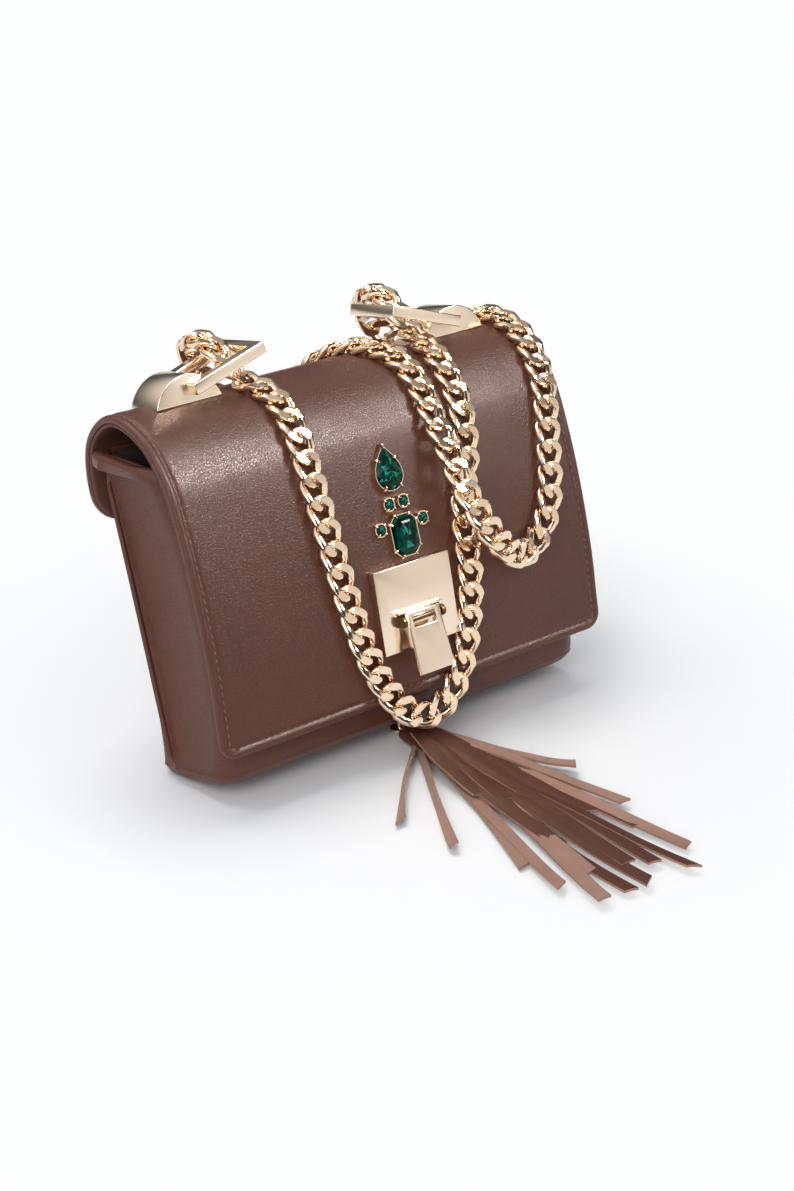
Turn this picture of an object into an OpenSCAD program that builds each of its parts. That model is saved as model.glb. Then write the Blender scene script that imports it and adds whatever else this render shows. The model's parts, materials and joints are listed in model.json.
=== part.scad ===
// Chain shoulder bag: a leather body with a wrap-over flap, a flip lock, claw-set stones,
// two pivoting strap rings, a doubled curb-chain strap and a leather tassel.
// The bag is drawn upright in its own frame (x across, y to the back, z up, rear bottom
// edge at the origin) and then leant back on its rear edge, with the tassel head under it.

/* [Body] */
// Width of the body
body_w = 192; // [150:1:260]
// Depth of the body at its base
body_d = 49; // [40:1:70]
// Height of the body's back
body_h = 134; // [110:1:180]
// Thickness of the body leather
leather_t = 2; // [1.2:0.1:3]
// Thickness of the stiffening board
board_t = 1.2; // [0.6:0.1:2]
// Thickness of the lining
lining_t = 0.8; // [0.4:0.1:1.2]
// Radius of the rear bottom edge
rear_edge_r = 8; // [5:0.5:12]
// Radius of the front bottom edge
front_edge_r = 11; // [6:0.5:15]
// Radius of the upright corners at the front
side_r = 12; // [6:0.5:18]
// Height of the base panel's turned-up edge
base_lip = 5; // [3:0.5:8]
// Width of the back panel's wrap on each side, at the base
back_wrap = 13; // [8:0.5:20]
// Height of the binding round the mouth
binding_h = 5; // [3:0.5:8]
// Angle at which the bag leans back
lean = 12.5; // [8:0.5:18]

/* [Flap] */
// Width of the flap
flap_w = 200; // [160:1:270]
// Thickness of the flap's outer leather
flap_leather_t = 2; // [1.4:0.1:3]
// Thickness of the flap's board
flap_board_t = 1; // [0.6:0.1:1.6]
// Thickness of the flap's lining leather
flap_lining_t = 1.4; // [0.8:0.1:2]
// Radius of the flap's bottom corners
flap_corner_r = 7; // [3:0.5:14]
// Height of the flap's front edge above the base
flap_drop = 15; // [8:1:30]

/* [Lock] */
// Width of the lock plate
lock_w = 39; // [30:0.5:48]
// Height of the lock plate
lock_h = 34; // [28:0.5:44]
// Thickness of the lock plate
lock_t = 3.2; // [2.6:0.1:4]
// Height of the lock plate's lower edge above the base
lock_z = 35; // [25:1:45]
// Width of the slot in the lock plate
slot_w = 22; // [20:0.5:24]
// Height of the slot in the lock plate
slot_h = 15.5; // [14:0.5:17]
// Width of the lever
lever_w = 17.8; // [16:0.1:19]
// Length of the lever
lever_h = 25.4; // [22:0.2:30]
// Thickness of the lever
lever_t = 2.6; // [2.4:0.1:3]
// Angle of the closed lever to the plate
lever_tilt = 10; // [6:1:14]
// Radius of the lever's pin
lock_pin_r = 1.3; // [1:0.05:1.5]

/* [Stones] */
// Height of the octagon stone's centre above the base
stone_z = 79.5; // [78:0.5:84]
// Width of the octagon setting
octagon_w = 14; // [10:0.5:16]
// Height of the octagon setting
octagon_h = 17.5; // [14:0.5:19]
// Width of the pear setting
pear_w = 14; // [10:0.5:16]
// Height of the pear setting
pear_h = 19; // [16:0.5:20]
// Radius of the small settings
small_r = 3.3; // [2.4:0.1:3.5]
// Height of the settings above the leather
setting_h = 3.6; // [3:0.1:4.5]

/* [Strap fittings] */
// Distance of each arch from the middle
arch_x = 68; // [60:1:76]
// Width of the arches
arch_w = 30; // [24:0.5:34]
// Depth of the arches
arch_d = 18; // [15:0.5:20]
// Height of the arches
arch_h = 10; // [8:0.5:12]
// Thickness of the square ring bars
ring_bar = 4.6; // [4:0.1:5.2]
// Length of the rings from the pivot to the far face
ring_len = 34; // [32:0.5:36]
// Radius of the ring pins
ring_pin_r = 1.8; // [1.4:0.1:2]
// Resting angle of the left ring
left_ring_tilt = 16; // [15:1:18]
// Resting angle of the right ring
right_ring_tilt = 18; // [16:1:20]

/* [Chain] */
// Distance from link to link
link_pitch = 9.3; // [9:0.1:9.6]
// Thickness of the link wire
link_wire = 2.7; // [2.4:0.1:3]
// Width of the links
link_w = 11.4; // [11:0.1:12]
// Turn of each link to the strap's plane
link_turn = 38; // [36:1:42]

/* [Tassel] */
// Width of the tassel strips
strip_w = 5; // [4:0.1:6]
// Thickness of the tassel strips
strip_t = 1.2; // [0.8:0.1:1.3]
// Reach of the tassel from the mouth of its sleeve to the longest tip
tassel_len = 139; // [120:1:180]
// Width of the tassel's sleeve
sleeve_w = 14; // [12:0.5:18]
// Length of the tassel's sleeve
sleeve_l = 14; // [10:0.5:18]
// Height of the tassel's sleeve
sleeve_h = 7.2; // [6.6:0.1:7.4]

/* [Hidden] */
$fn = 48;

// Small gap left between pieces that are sewn or set against each other
seat_gap = 0.05;
// Gap between pieces on different moving bodies
run_gap = 0.3;
// Radial clearance of the pins in their bores
pin_gap = 0.04;
// Overrun of every cut
cut = 1;
// Depth of the worn flat where the rear edge rests
rest_flat = 0.5;
wall_t = leather_t + board_t + lining_t + 2 * seat_gap;
flap_t = flap_leather_t + flap_board_t + flap_lining_t + 2 * seat_gap;

// Corner cutting that rounds a line of points and keeps its two ends
function chaikin(p) = concat([p[0]], [for (i = [0 : len(p) - 2], k = [0, 1])
    p[i] * (k == 0 ? 0.75 : 0.25) + p[i + 1] * (k == 0 ? 0.25 : 0.75)], [p[len(p) - 1]]);
function unit(v) = v / norm(v);
// Side step of a line in the side view, to its left as it runs
function tangent(p, i) = unit(p[min(i + 1, len(p) - 1)] - p[max(i - 1, 0)]);
function shift(p, d) = [for (i = [0 : len(p) - 1])
    p[i] + d * [-tangent(p, i)[1], tangent(p, i)[0]]];
function flip(p) = [for (i = [len(p) - 1 : -1 : 0]) p[i]];
function in_body(shares) = [for (s = shares) [s[0] * body_d, s[1] * body_h]];
function arc(c, r, a0, a1, n) = [for (i = [0 : n]) let(a = a0 + (a1 - a0) * i / n)
    c + r * [cos(a), sin(a)]];

// Side outline of the body from the front bottom edge up, over the mouth and down the back
arc_steps = 6;
body_front_shares = [[-1.03, 0.17], [-1.047, 0.33], [-1.035, 0.48], [-1.0, 0.62], [-0.95, 0.745],
    [-0.885, 0.85], [-0.82, 0.91], [-0.75, 0.95]];
body_rear_shares = [[0.017, 0.995], [0.05, 0.92], [0.046, 0.82], [0.03, 0.6], [0.016, 0.3]];
body_front = concat(
    arc([front_edge_r - body_d, front_edge_r], front_edge_r, 270, 180, arc_steps),
    chaikin(chaikin(in_body(body_front_shares))));
body_rear = concat(chaikin(chaikin(in_body(body_rear_shares))),
    arc([-rear_edge_r, rear_edge_r], rear_edge_r, 0, -90, arc_steps));

// Flap line: its inner face, from the front edge over the crest to the hinge, then its tail
flap_shares = [[-1.058, 0.22], [-1.07, 0.33], [-1.052, 0.48], [-1.018, 0.62], [-0.97, 0.74],
    [-0.895, 0.876], [-0.833, 0.928], [-0.745, 0.982], [-0.645, 1.022], [-0.527, 1.048],
    [-0.394, 1.069], [-0.27, 1.073], [-0.16, 1.06], [-0.04, 1.031], [0.035, 0.998],
    [0.072, 0.96], [0.09, 0.912]];
tail_shares = [[0.09, 0.912], [0.088, 0.88], [0.07, 0.83], [0.052, 0.775]];
flap_start = [flap_shares[0][0] * body_d, flap_drop];
flap_in = chaikin(chaikin(concat([flap_start], [for (i = [0 : len(flap_shares) - 1])
    if (flap_shares[i][1] * body_h > flap_drop + flap_corner_r) in_body(flap_shares)[i]])));
tail_in = chaikin(chaikin(in_body(tail_shares)));
flap_out = shift(flap_in, flap_t);
hinge_at = flap_out[len(flap_out) - 1];
// Height of the outer face at a depth, depth at a height, and the lean of each
crest_share = 0.3;
crest_table = [for (p = flap_out) if (p[1] > body_h) p];
front_table = [for (p = flap_out) if (p[0] < -body_d * crest_share) [p[1], p[0]]];
function front_y(z) = lookup(z, front_table);
function front_lean(z, d) = atan2(front_y(z + d) - front_y(z - d), 2 * d);

// Leaning back about the rear edge, then set down on its worn flat
stand_y = rear_edge_r * (cos(lean) - sin(lean));
stand_z = rear_edge_r * (1 - cos(lean) - sin(lean)) - rest_flat;
module stand() {
    translate([0, stand_y, stand_z]) rotate([-lean, 0, 0]) children();
}
function floor_of(p) = [p[0], p[1] * cos(lean) + p[2] * sin(lean) + stand_y,
    p[2] * cos(lean) - p[1] * sin(lean) + stand_z];

// Extrusion across the bag of an outline in the side view
module across(w, pts) {
    rotate([90, 0, 90]) linear_extrude(w, center = true) polygon(pts);
}
// Upright block with the body's rounded corners, set in by d from the outside
module body_block(d) {
    w = body_w - 2 * d;
    r = side_r - d;
    back = body_d * (body_rear_shares[1][0]) - d;
    front = body_d * body_front_shares[1][0] + d;
    r2 = rear_edge_r - d;
    linear_extrude(body_h * 1.2) union() {
        translate([-w / 2, front + r]) square([w, back - front - r - r2]);
        translate([-w / 2 + r, front]) square([w - 2 * r, r]);
        translate([-w / 2 + r2, back - r2]) square([w - 2 * r2, r2]);
        for (s = [-1, 1]) {
            translate([s * (w / 2 - r), front + r]) circle(r);
            translate([s * (w / 2 - r2), back - r2]) circle(r2);
        }
    }
}
// Solid of the body's shape, set in by d; open_top carries it straight up past the mouth
module body_solid(d, open_top) {
    front = shift(body_front, -d);
    rear = shift(body_rear, -d);
    top = body_h * 1.1;
    rim = open_top ? [[front[len(front) - 1][0], top], [rear[0][0], top]] : [];
    intersection() {
        across(body_w, concat(front, rim, rear));
        translate([0, 0, d]) body_block(d);
    }
}
module body_shell(d0, d1) {
    difference() {
        body_solid(d0, false);
        body_solid(d1, true);
    }
}
// The same shell, ending lower than the mouth
module inner_shell(d0, d1) {
    difference() {
        intersection() {
            body_solid(d0, false);
            mouth_below(binding_h + seat_gap);
        }
        body_solid(d1, true);
    }
}
// The seam on each side runs from the base to the mouth, nearer the back as it rises
seam_top_share = 0.6;
module behind_seam(gap) {
    across(body_w + 2 * cut, [[-back_wrap + gap / 2, -cut], [body_d, -cut],
        [body_d, body_h * 1.1], [-back_wrap * seam_top_share + gap / 2, body_h * 1.1]]);
}
module before_seam(gap) {
    across(body_w + 2 * cut, [[-back_wrap - gap / 2, -cut], [-body_d * 2, -cut],
        [-body_d * 2, body_h * 1.1], [-back_wrap * seam_top_share - gap / 2, body_h * 1.1]]);
}
module above(z) {
    translate([-body_w, -body_d * 2, z]) cube([body_w * 2, body_d * 3, body_h * 2]);
}
// Cut that leaves the rear edge flat where it rests
module floor_cut() {
    translate([-body_w, -body_d * 2, -body_h]) cube([body_w * 2, body_d * 4, body_h]);
}

leather_tone = "#5a3a30";
suede_tone = "#7d5a4a";
gold_tone = "#d8c08a";
plate_tone = "#d9c7a5";
emerald_tone = "#0b6b4f";

// Position of the tassel's swivel on the floor, and of its hole in the base
post_in = 18;
post_y = post_in - body_d;
post_r = 1.6;
post_flange_r = 2.6;
post_flange_t = 0.6;
// Room under the flange for the curve of the front bottom edge
post_lift = 0.45;
// Sewn-in magnets
magnet_r = 8;
magnet_t = 1;
magnet_z = lock_z + magnet_r + run_gap;

module base_panel() color(leather_tone) {
    difference() {
        stand() difference() {
            body_shell(0, leather_t);
            above(base_lip);
        }
        floor_cut();
        translate([0, post_y, 0]) cylinder(r = post_r + seat_gap, h = body_d);
    }
}
module back_panel() color(leather_tone) {
    stand() intersection() {
        body_shell(0, leather_t);
        above(base_lip + seat_gap);
        behind_seam(seat_gap);
    }
}
module front_panel() color(leather_tone) {
    stand() intersection() {
        body_shell(0, leather_t);
        above(base_lip + seat_gap);
        before_seam(seat_gap);
        mouth_below(binding_h);
    }
}
// Everything lower than d under the sloping mouth
module mouth_below(d) {
    a = body_front[len(body_front) - 1];
    b = body_rear[0];
    across(body_w * 2, [[-body_d * 2, -cut], [body_d * 2, -cut], [body_d * 2, b[1] + body_h - d],
        b - [0, d], a - [0, d], [-body_d * 2, a[1] - d]]);
}
// Binding folded over the front and side edges of the mouth
module mouth_binding() color(leather_tone) {
    stand() intersection() {
        body_shell(0, wall_t + seat_gap);
        before_seam(seat_gap);
        difference() {
            above(base_lip);
            mouth_below(binding_h - seat_gap);
        }
    }
}
module body_board() color("#b9a58c") {
    stand() difference() {
        inner_shell(leather_t + seat_gap, leather_t + seat_gap + board_t);
        translate([0, -body_d * 2, magnet_z]) rotate([-90, 0, 0])
            cylinder(r = magnet_r + seat_gap, h = body_d * 1.5);
        stand_back() translate([0, post_y, 0])
            cylinder(r = post_flange_r * 1.3, h = body_d);
    }
}
// Undoes the lean, to place floor-based shapes inside the bag's own frame
module stand_back() {
    rotate([lean, 0, 0]) translate([0, -stand_y, -stand_z]) children();
}
module lining() color("#3b2a26") {
    stand() inner_shell(wall_t - lining_t, wall_t);
}
body_front_table = [for (p = body_front) if (p[1] > front_edge_r) [p[1], p[0]]];
module body_magnet() color("silver") {
    stand() translate([0, lookup(magnet_z, body_front_table), magnet_z])
        rotate([-front_lean(magnet_z, magnet_r), 0, 0])
            translate([0, leather_t + 4 * seat_gap, 0]) rotate([-90, 0, 0])
                cylinder(r = magnet_r, h = magnet_t);
}

// Flap sheet between two distances from its inner face, with rounded front corners
module flap_sheet(d0, d1) {
    intersection() {
        across(flap_w, concat(shift(flap_in, d0), flip(shift(flap_in, d1))));
        rotate([90, 0, 0]) linear_extrude(body_d * 4, center = true) union() {
            translate([-flap_w / 2, flap_drop + flap_corner_r])
                square([flap_w, body_h * 1.2]);
            translate([-flap_w / 2 + flap_corner_r, flap_drop])
                square([flap_w - 2 * flap_corner_r, flap_corner_r]);
            for (s = [-1, 1]) translate([s * (flap_w / 2 - flap_corner_r),
                flap_drop + flap_corner_r]) circle(flap_corner_r);
        }
    }
}
// Frame on the flap's outer face: x across, y into the bag, z up along the face
module on_face(x, z, d) {
    translate([x, front_y(z), z]) rotate([-front_lean(z, d), 0, 0]) children();
}

// Lock rivets stand near the plate's corners
rivet_r = 1.2;
rivet_head_r = 2.4;
rivet_in = 5;
lock_mid_z = lock_z + lock_h / 2;
backing_t = 0.4;
head_t = 0.25;
// Room for the curve of the flap behind a flat plate, at the lock and at the crest
sag_gap = 0.45;
crest_sag = 0.15;
backing_y = flap_leather_t + seat_gap + sag_gap;
backing_h = lock_h - rivet_in;
rivet_spots = [[-1, -1], [1, -1], [-1, 1], [1, 1]];
module at_rivets() {
    for (s = rivet_spots)
        translate([s[0] * (lock_w / 2 - rivet_in), 0, s[1] * (lock_h / 2 - rivet_in)])
            rotate([-90, 0, 0]) children();
}
module at_magnet() {
    on_face(0, lock_mid_z, lock_h / 2) translate([0, 0, magnet_z - lock_mid_z])
        rotate([-90, 0, 0]) children();
}
// Stone places: across and above the octagon's centre
small_gap = 1;
pair_z = octagon_h / 2 + small_r + small_gap;
pear_z = pair_z + small_r + small_gap + pear_h / 2;
small_spots = [[-small_r - small_gap / 2, pair_z], [small_r + small_gap / 2, pair_z],
    [-octagon_w / 2 - small_r - small_gap / 2, octagon_h / 4],
    [octagon_w / 2 + small_r + small_gap / 2, octagon_h / 4]];
stud_r = 0.8;
stone_spots = concat([[0, 0], [0, pear_z]], small_spots);
module stone_studs(r, extra) {
    for (s = stone_spots) on_face(s[0], stone_z + s[1], small_r) rotate([-90, 0, 0])
        translate([0, 0, -seat_gap]) cylinder(r = r, h = flap_leather_t + extra);
}
// Arch frame: on the crest, x across, y to the back, z away from the flap
arch_y = -body_d * crest_share;

arch_z = lookup(arch_y, crest_table);
module at_arch(side) {
    translate([side * arch_x, arch_y, arch_z]) children();
}
screw_r = 1.3;
screw_head_r = 2.6;
screw_depth = 4;
screw_apart = 18;
pivot_in = 2.5;
pivot_z = 4.4;
// Strip under the leather that the arch screws pull against
strip_z = -flap_leather_t - seat_gap - crest_sag - backing_t;
module arch_strip(gap) {
    translate([-arch_w / 2 + cut - gap, -screw_head_r - gap, strip_z])
        cube([arch_w - 2 * cut + 2 * gap, 2 * (screw_head_r + gap), backing_t]);
}
module at_arch_screws() {
    for (side = [-1, 1], s = [-1, 1])
        translate([side * arch_x + s * screw_apart / 2, arch_y, arch_z]) children();
}

module flap_outer() color(leather_tone) {
    stand() difference() {
        flap_sheet(flap_lining_t + flap_board_t + 2 * seat_gap, flap_t);
        on_face(0, lock_mid_z, lock_h / 2) at_rivets()
            translate([0, 0, -cut]) cylinder(r = rivet_r + seat_gap, h = flap_t + cut);
        stone_studs(stud_r + seat_gap, cut);
        at_arch_screws() translate([0, 0, -flap_t - cut])
            cylinder(r = screw_r + seat_gap, h = flap_t + 2 * cut);
    }
}
module flap_board() color("#b9a58c") {
    stand() difference() {
        flap_sheet(flap_lining_t + seat_gap, flap_lining_t + seat_gap + flap_board_t);
        on_face(0, lock_mid_z, lock_h / 2) translate([-lock_w / 2, 0, -lock_h / 2])
            cube([lock_w, flap_t * 2, lock_h]);
        stone_studs(stud_r * 2, flap_t);
        for (side = [-1, 1]) at_arch(side) translate([-arch_w / 2, -screw_head_r * 1.2, -flap_t * 2])
            cube([arch_w, screw_head_r * 2.4, flap_t * 3]);
    }
}
module flap_lining() color(leather_tone) {
    stand() difference() {
        flap_sheet(0, flap_lining_t);
        at_magnet() cylinder(r = magnet_r + 2 * seat_gap, h = flap_t - flap_lining_t * 0.4);
    }
}
module flap_back() color(leather_tone) {
    stand() intersection() {
        across(flap_w, concat([tail_in[0] - [0, seat_gap]], [for (i = [1 : len(tail_in) - 1])
            tail_in[i]], flip([for (i = [1 : len(tail_out) - 1]) tail_out[i]]),
            [tail_out[0] - [0, seat_gap]]));
        rotate([90, 0, 0]) linear_extrude(body_d * 4, center = true) union() {
            tail_z = tail_in[len(tail_in) - 1][1] - flap_t;
            translate([-flap_w / 2, tail_z + flap_corner_r * 2]) square([flap_w, body_h]);
            translate([-flap_w / 2 + flap_corner_r, tail_z])
                square([flap_w - 2 * flap_corner_r, body_h]);
            for (s = [-1, 1]) translate([s * (flap_w / 2 - flap_corner_r),
                tail_z + flap_corner_r * 2]) circle(flap_corner_r);
        }
    }
}

module flap_magnet() color("silver") {
    front = backing_y + backing_t + seat_gap;
    stand() at_magnet() translate([0, 0, front])
        cylinder(r = magnet_r, h = flap_t - flap_lining_t * 0.4 - seat_gap - front);
}
module lock_plate() color(plate_tone) {
    stand() on_face(0, lock_mid_z, lock_h / 2) difference() {
        translate([-lock_w / 2, -lock_t - seat_gap, -lock_h / 2]) cube([lock_w, lock_t, lock_h]);
        translate([-slot_w / 2, -lock_t - cut, -lock_h / 2 - cut])
            cube([slot_w, lock_t - slot_floor + cut - seat_gap, slot_h + cut]);
        at_rivets() translate([0, 0, -lock_t / 2]) cylinder(r = rivet_r, h = lock_t);
    }
}
// Two lugs beside the lever carry its pin, which shows as a bar in the lever's window
eye_wall = 1;
lug_r = lock_pin_r + eye_wall;
lug_w = (slot_w - lever_w) / 2 - run_gap - 2 * seat_gap;
window_w = 11.4;
window_up = lock_pin_r + run_gap;
window_gap = 2;
window_down = lock_pin_r + window_gap;
lever_top = window_up + eye_wall * 1.5;
axis_out = lock_t + lever_t * 0.7;
axis_down = lever_top + 2 * run_gap;
axis_z = slot_h - lock_h / 2 - axis_down;
slot_floor = lock_t / 4;
module at_axis() {
    stand() on_face(0, lock_mid_z, lock_h / 2) translate([0, -axis_out, axis_z]) children();
}
module lock_knuckle() color(gold_tone) {
    foot = axis_out - slot_floor - 3 * seat_gap;
    at_axis() for (s = [-1, 1]) difference() {
        union() {
            translate([s * (slot_w / 2 - seat_gap - lug_w / 2), 0, 0]) rotate([0, 90, 0])
                cylinder(r = lug_r, h = lug_w, center = true);
            translate([s * (slot_w / 2 - seat_gap - lug_w / 2) - lug_w / 2, 0, -lug_r])
                cube([lug_w, foot, 2 * lug_r]);
        }
        rotate([0, 90, 0]) cylinder(r = lock_pin_r + pin_gap, h = slot_w + cut, center = true);
    }
}
module lock_pin() color(gold_tone) {
    at_axis() rotate([0, 90, 0])
        cylinder(r = lock_pin_r, h = slot_w - 4 * seat_gap, center = true);
}
module lock_lever() color(plate_tone) {
    side = (lever_w - window_w) / 2;
    at_axis() rotate([-lever_tilt, 0, 0]) difference() {
        union() {
            translate([-lever_w / 2, -lever_t / 2, lever_top - lever_h])
                cube([lever_w, lever_t, lever_h]);
            for (s = [-1, 1]) translate([s * (lever_w - side) / 2, 0, 0]) rotate([0, 90, 0])
                cylinder(r = lug_r, h = side, center = true);
        }
        translate([-window_w / 2, -lever_t, -window_down])
            cube([window_w, 2 * lever_t, window_up + window_down]);
        rotate([0, 90, 0]) cylinder(r = lock_pin_r + pin_gap, h = lever_w + cut, center = true);
    }
}
module lock_backing() color("silver") {
    stand() on_face(0, lock_mid_z, lock_h / 2) difference() {
        translate([-lock_w / 2 + cut, backing_y, -backing_h / 2])
            cube([lock_w - 2 * cut, backing_t, backing_h]);
        at_rivets() cylinder(r = rivet_r + seat_gap, h = flap_t * 2);
    }
}
module lock_rivets() color(gold_tone) {
    stand() on_face(0, lock_mid_z, lock_h / 2) at_rivets() {
        translate([0, 0, -lock_t / 2 + seat_gap])
            cylinder(r = rivet_r - seat_gap, h = lock_t / 2 + backing_y + backing_t);
        translate([0, 0, backing_y + backing_t + seat_gap])
            cylinder(r = rivet_head_r, h = head_t);
    }
}

// Outlines of the stones in the face plane
module pear_outline(w, h) {
    r = w / 2;
    tip = h - r;
    a = acos(r / tip);
    union() {
        circle(r);
        polygon([[0, tip], [r * sin(90 - a) , r * sin(a)] , [-r * sin(90 - a), r * sin(a)]]);
    }
}
module octagon_outline(w, h) {
    c = w / 4;
    polygon([[-w / 2 + c, -h / 2], [w / 2 - c, -h / 2], [w / 2, -h / 2 + c], [w / 2, h / 2 - c],
        [w / 2 - c, h / 2], [-w / 2 + c, h / 2], [-w / 2, h / 2 - c], [-w / 2, -h / 2 + c]]);
}
module round_outline(w, h) {
    circle(w / 2);
}
// Setting: a cup with a wall and four claws; the stone sits in it on a ledge
cup_wall = 0.6;
cup_floor = 0.8;
claw_w = 1.1;
module lift(h) {
    rotate([90, 0, 0]) linear_extrude(h) children();
}
module claws(w, h, top) {
    for (s = rivet_spots) translate([s[0] * w, 0, s[1] * h]) rotate([90, 0, 0])
        cylinder(r = claw_w / 2, h = top);
}
module octagon_cup() {
    difference() {
        union() {
            lift(setting_h * 0.7) octagon_outline(octagon_w, octagon_h);
            claws(octagon_w / 2 - claw_w, octagon_h / 2 - claw_w, setting_h);
        }
        translate([0, -cup_floor, 0]) lift(setting_h)
            octagon_outline(octagon_w - 2 * cup_wall, octagon_h - 2 * cup_wall);
    }
}
module octagon_setting() color(gold_tone) {
    stand() on_face(0, stone_z, small_r) translate([0, -seat_gap, 0]) octagon_cup();
}
// Stones: a pavilion side band with a smaller table above it
module cut_stone(h0, h1) {
    union() {
        lift(h0) children(0);
        lift(h1) children(1);
    }
}
module octagon_stone() color(emerald_tone) {
    w = octagon_w - 2 * cup_wall - 2 * seat_gap;
    h = octagon_h - 2 * cup_wall - 2 * seat_gap;
    stand() on_face(0, stone_z, small_r) translate([0, -cup_floor - 2 * seat_gap, 0])
        difference() {
            cut_stone(setting_h * 0.6, setting_h) {
                octagon_outline(w, h);
                octagon_outline(w * 0.7, h * 0.75);
            }
            claws(octagon_w / 2 - claw_w, octagon_h / 2 - claw_w, setting_h * 2);
        }
}
module pear_setting() color(gold_tone) {
    stand() on_face(0, stone_z + pear_z, small_r)
        translate([0, -seat_gap, (pear_w - pear_h) / 2]) difference() {
            lift(setting_h * 0.8) pear_outline(pear_w, pear_h);
            translate([0, -cup_floor, 0]) lift(setting_h)
                pear_outline(pear_w - 2 * cup_wall, pear_h - 2.4 * cup_wall);
        }
}
module pear_stone() color(emerald_tone) {
    w = pear_w - 2 * cup_wall - 2 * seat_gap;
    h = pear_h - 2.4 * cup_wall - 3 * seat_gap;
    stand() on_face(0, stone_z + pear_z, small_r)
        translate([0, -cup_floor - 2 * seat_gap, (pear_w - pear_h) / 2])
            cut_stone(setting_h * 0.6, setting_h) {
                pear_outline(w, h);
                pear_outline(w * 0.7, h * 0.7);
            }
}
module small_settings() color(gold_tone) {
    stand() for (s = small_spots) on_face(s[0], stone_z + s[1], small_r)
        translate([0, -seat_gap, 0]) difference() {
            lift(setting_h * 0.7) circle(small_r);
            translate([0, -cup_floor, 0]) lift(setting_h) circle(small_r - cup_wall);
        }
}
module small_stones() color(emerald_tone) {
    stand() for (s = small_spots) on_face(s[0], stone_z + s[1], small_r)
        translate([0, -cup_floor - 2 * seat_gap, 0]) cut_stone(setting_h * 0.5, setting_h * 0.75) {
            circle(small_r - cup_wall - seat_gap);
            circle((small_r - cup_wall) * 0.7);
        }
}
module stone_rivets() color(gold_tone) {
    stand() for (s = stone_spots) on_face(s[0], stone_z + s[1], small_r) rotate([-90, 0, 0]) {
        cylinder(r = stud_r, h = flap_leather_t + seat_gap);
        translate([0, 0, flap_leather_t + 2 * seat_gap])
            cylinder(r = stud_r * 1.5, h = flap_board_t / 3);
    }
}

// Half-moon arch with a bore along its depth for the ring's pin
module arch(side) {
    r = (arch_w * arch_w / 4 + arch_h * arch_h) / (2 * arch_h);
    skirt = arch_h / 4;
    difference() {
        at_arch(side) difference() {
            intersection() {
                translate([0, 0, arch_h - r]) rotate([90, 0, 0])
                    cylinder(r = r, h = arch_d, center = true, $fn = 96);
                translate([-arch_w / 2, -arch_d / 2, -skirt])
                    cube([arch_w, arch_d, arch_h + skirt]);
            }
            translate([-side * pivot_in, 0, pivot_z]) rotate([90, 0, 0])
                cylinder(r = ring_pin_r + pin_gap, h = arch_d + 2 * cut, center = true);
        }
        across(flap_w, concat(shift(flap_in, flap_t + seat_gap), [[0, body_h / 2]]));
        at_arch_screws() translate([0, 0, -cut])
            cylinder(r = screw_r, h = screw_depth + cut + skirt);
    }
}
module arch_left() color(plate_tone) {
    stand() arch(-1);
}
module arch_right() color(plate_tone) {
    stand() arch(1);
}
module arch_backings() color("silver") {
    stand() difference() {
        for (side = [-1, 1]) at_arch(side) arch_strip(0);
        at_arch_screws() translate([0, 0, -flap_t * 2])
            cylinder(r = screw_r + seat_gap, h = flap_t * 3);
    }
}
module arch_screws() color("silver") {
    top = screw_depth - seat_gap;
    head_z = strip_z - seat_gap - head_t;
    stand() at_arch_screws() {
        translate([0, 0, head_z]) cylinder(r = screw_r - seat_gap, h = top - head_z);
        translate([0, 0, head_z]) cylinder(r = screw_head_r * 0.9, h = head_t);
    }
}

// Rectangular ring that swings about the pin in its arch
ring_gap = 0.6;
ring_in_w = arch_d + 2 * ring_gap;
ring_out_w = ring_in_w + 2 * ring_bar;
module at_ring(side, rise) {
    stand() at_arch(side) translate([-side * pivot_in, 0, pivot_z])
        rotate([0, side * rise, 0]) scale_x(-side) children();
}
module scale_x(s) {
    if (s < 0) mirror([1, 0, 0]) children();
    else children();
}
module ring_frame() {
    difference() {
        translate([-ring_bar / 2, -ring_out_w / 2, -ring_bar / 2])
            cube([ring_len + ring_bar / 2, ring_out_w, ring_bar]);
        translate([-ring_bar, -ring_in_w / 2, -ring_bar])
            cube([ring_len, ring_in_w, 2 * ring_bar]);
        rotate([90, 0, 0]) cylinder(r = ring_pin_r + seat_gap / 2, h = ring_out_w - ring_bar / 2,
            center = true);
    }
}
module ring_bolt() {
    rotate([90, 0, 0]) cylinder(r = ring_pin_r, h = ring_out_w - ring_bar / 2 - seat_gap,
        center = true);
}
module ring_left() color(plate_tone) {
    at_ring(-1, left_ring_tilt) ring_frame();
}
module ring_left_pin() color(gold_tone) {
    at_ring(-1, left_ring_tilt) ring_bolt();
}
module ring_right() color(plate_tone) {
    at_ring(1, right_ring_tilt) ring_frame();
}
module ring_right_pin() color(gold_tone) {
    at_ring(1, right_ring_tilt) ring_bolt();
}

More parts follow.
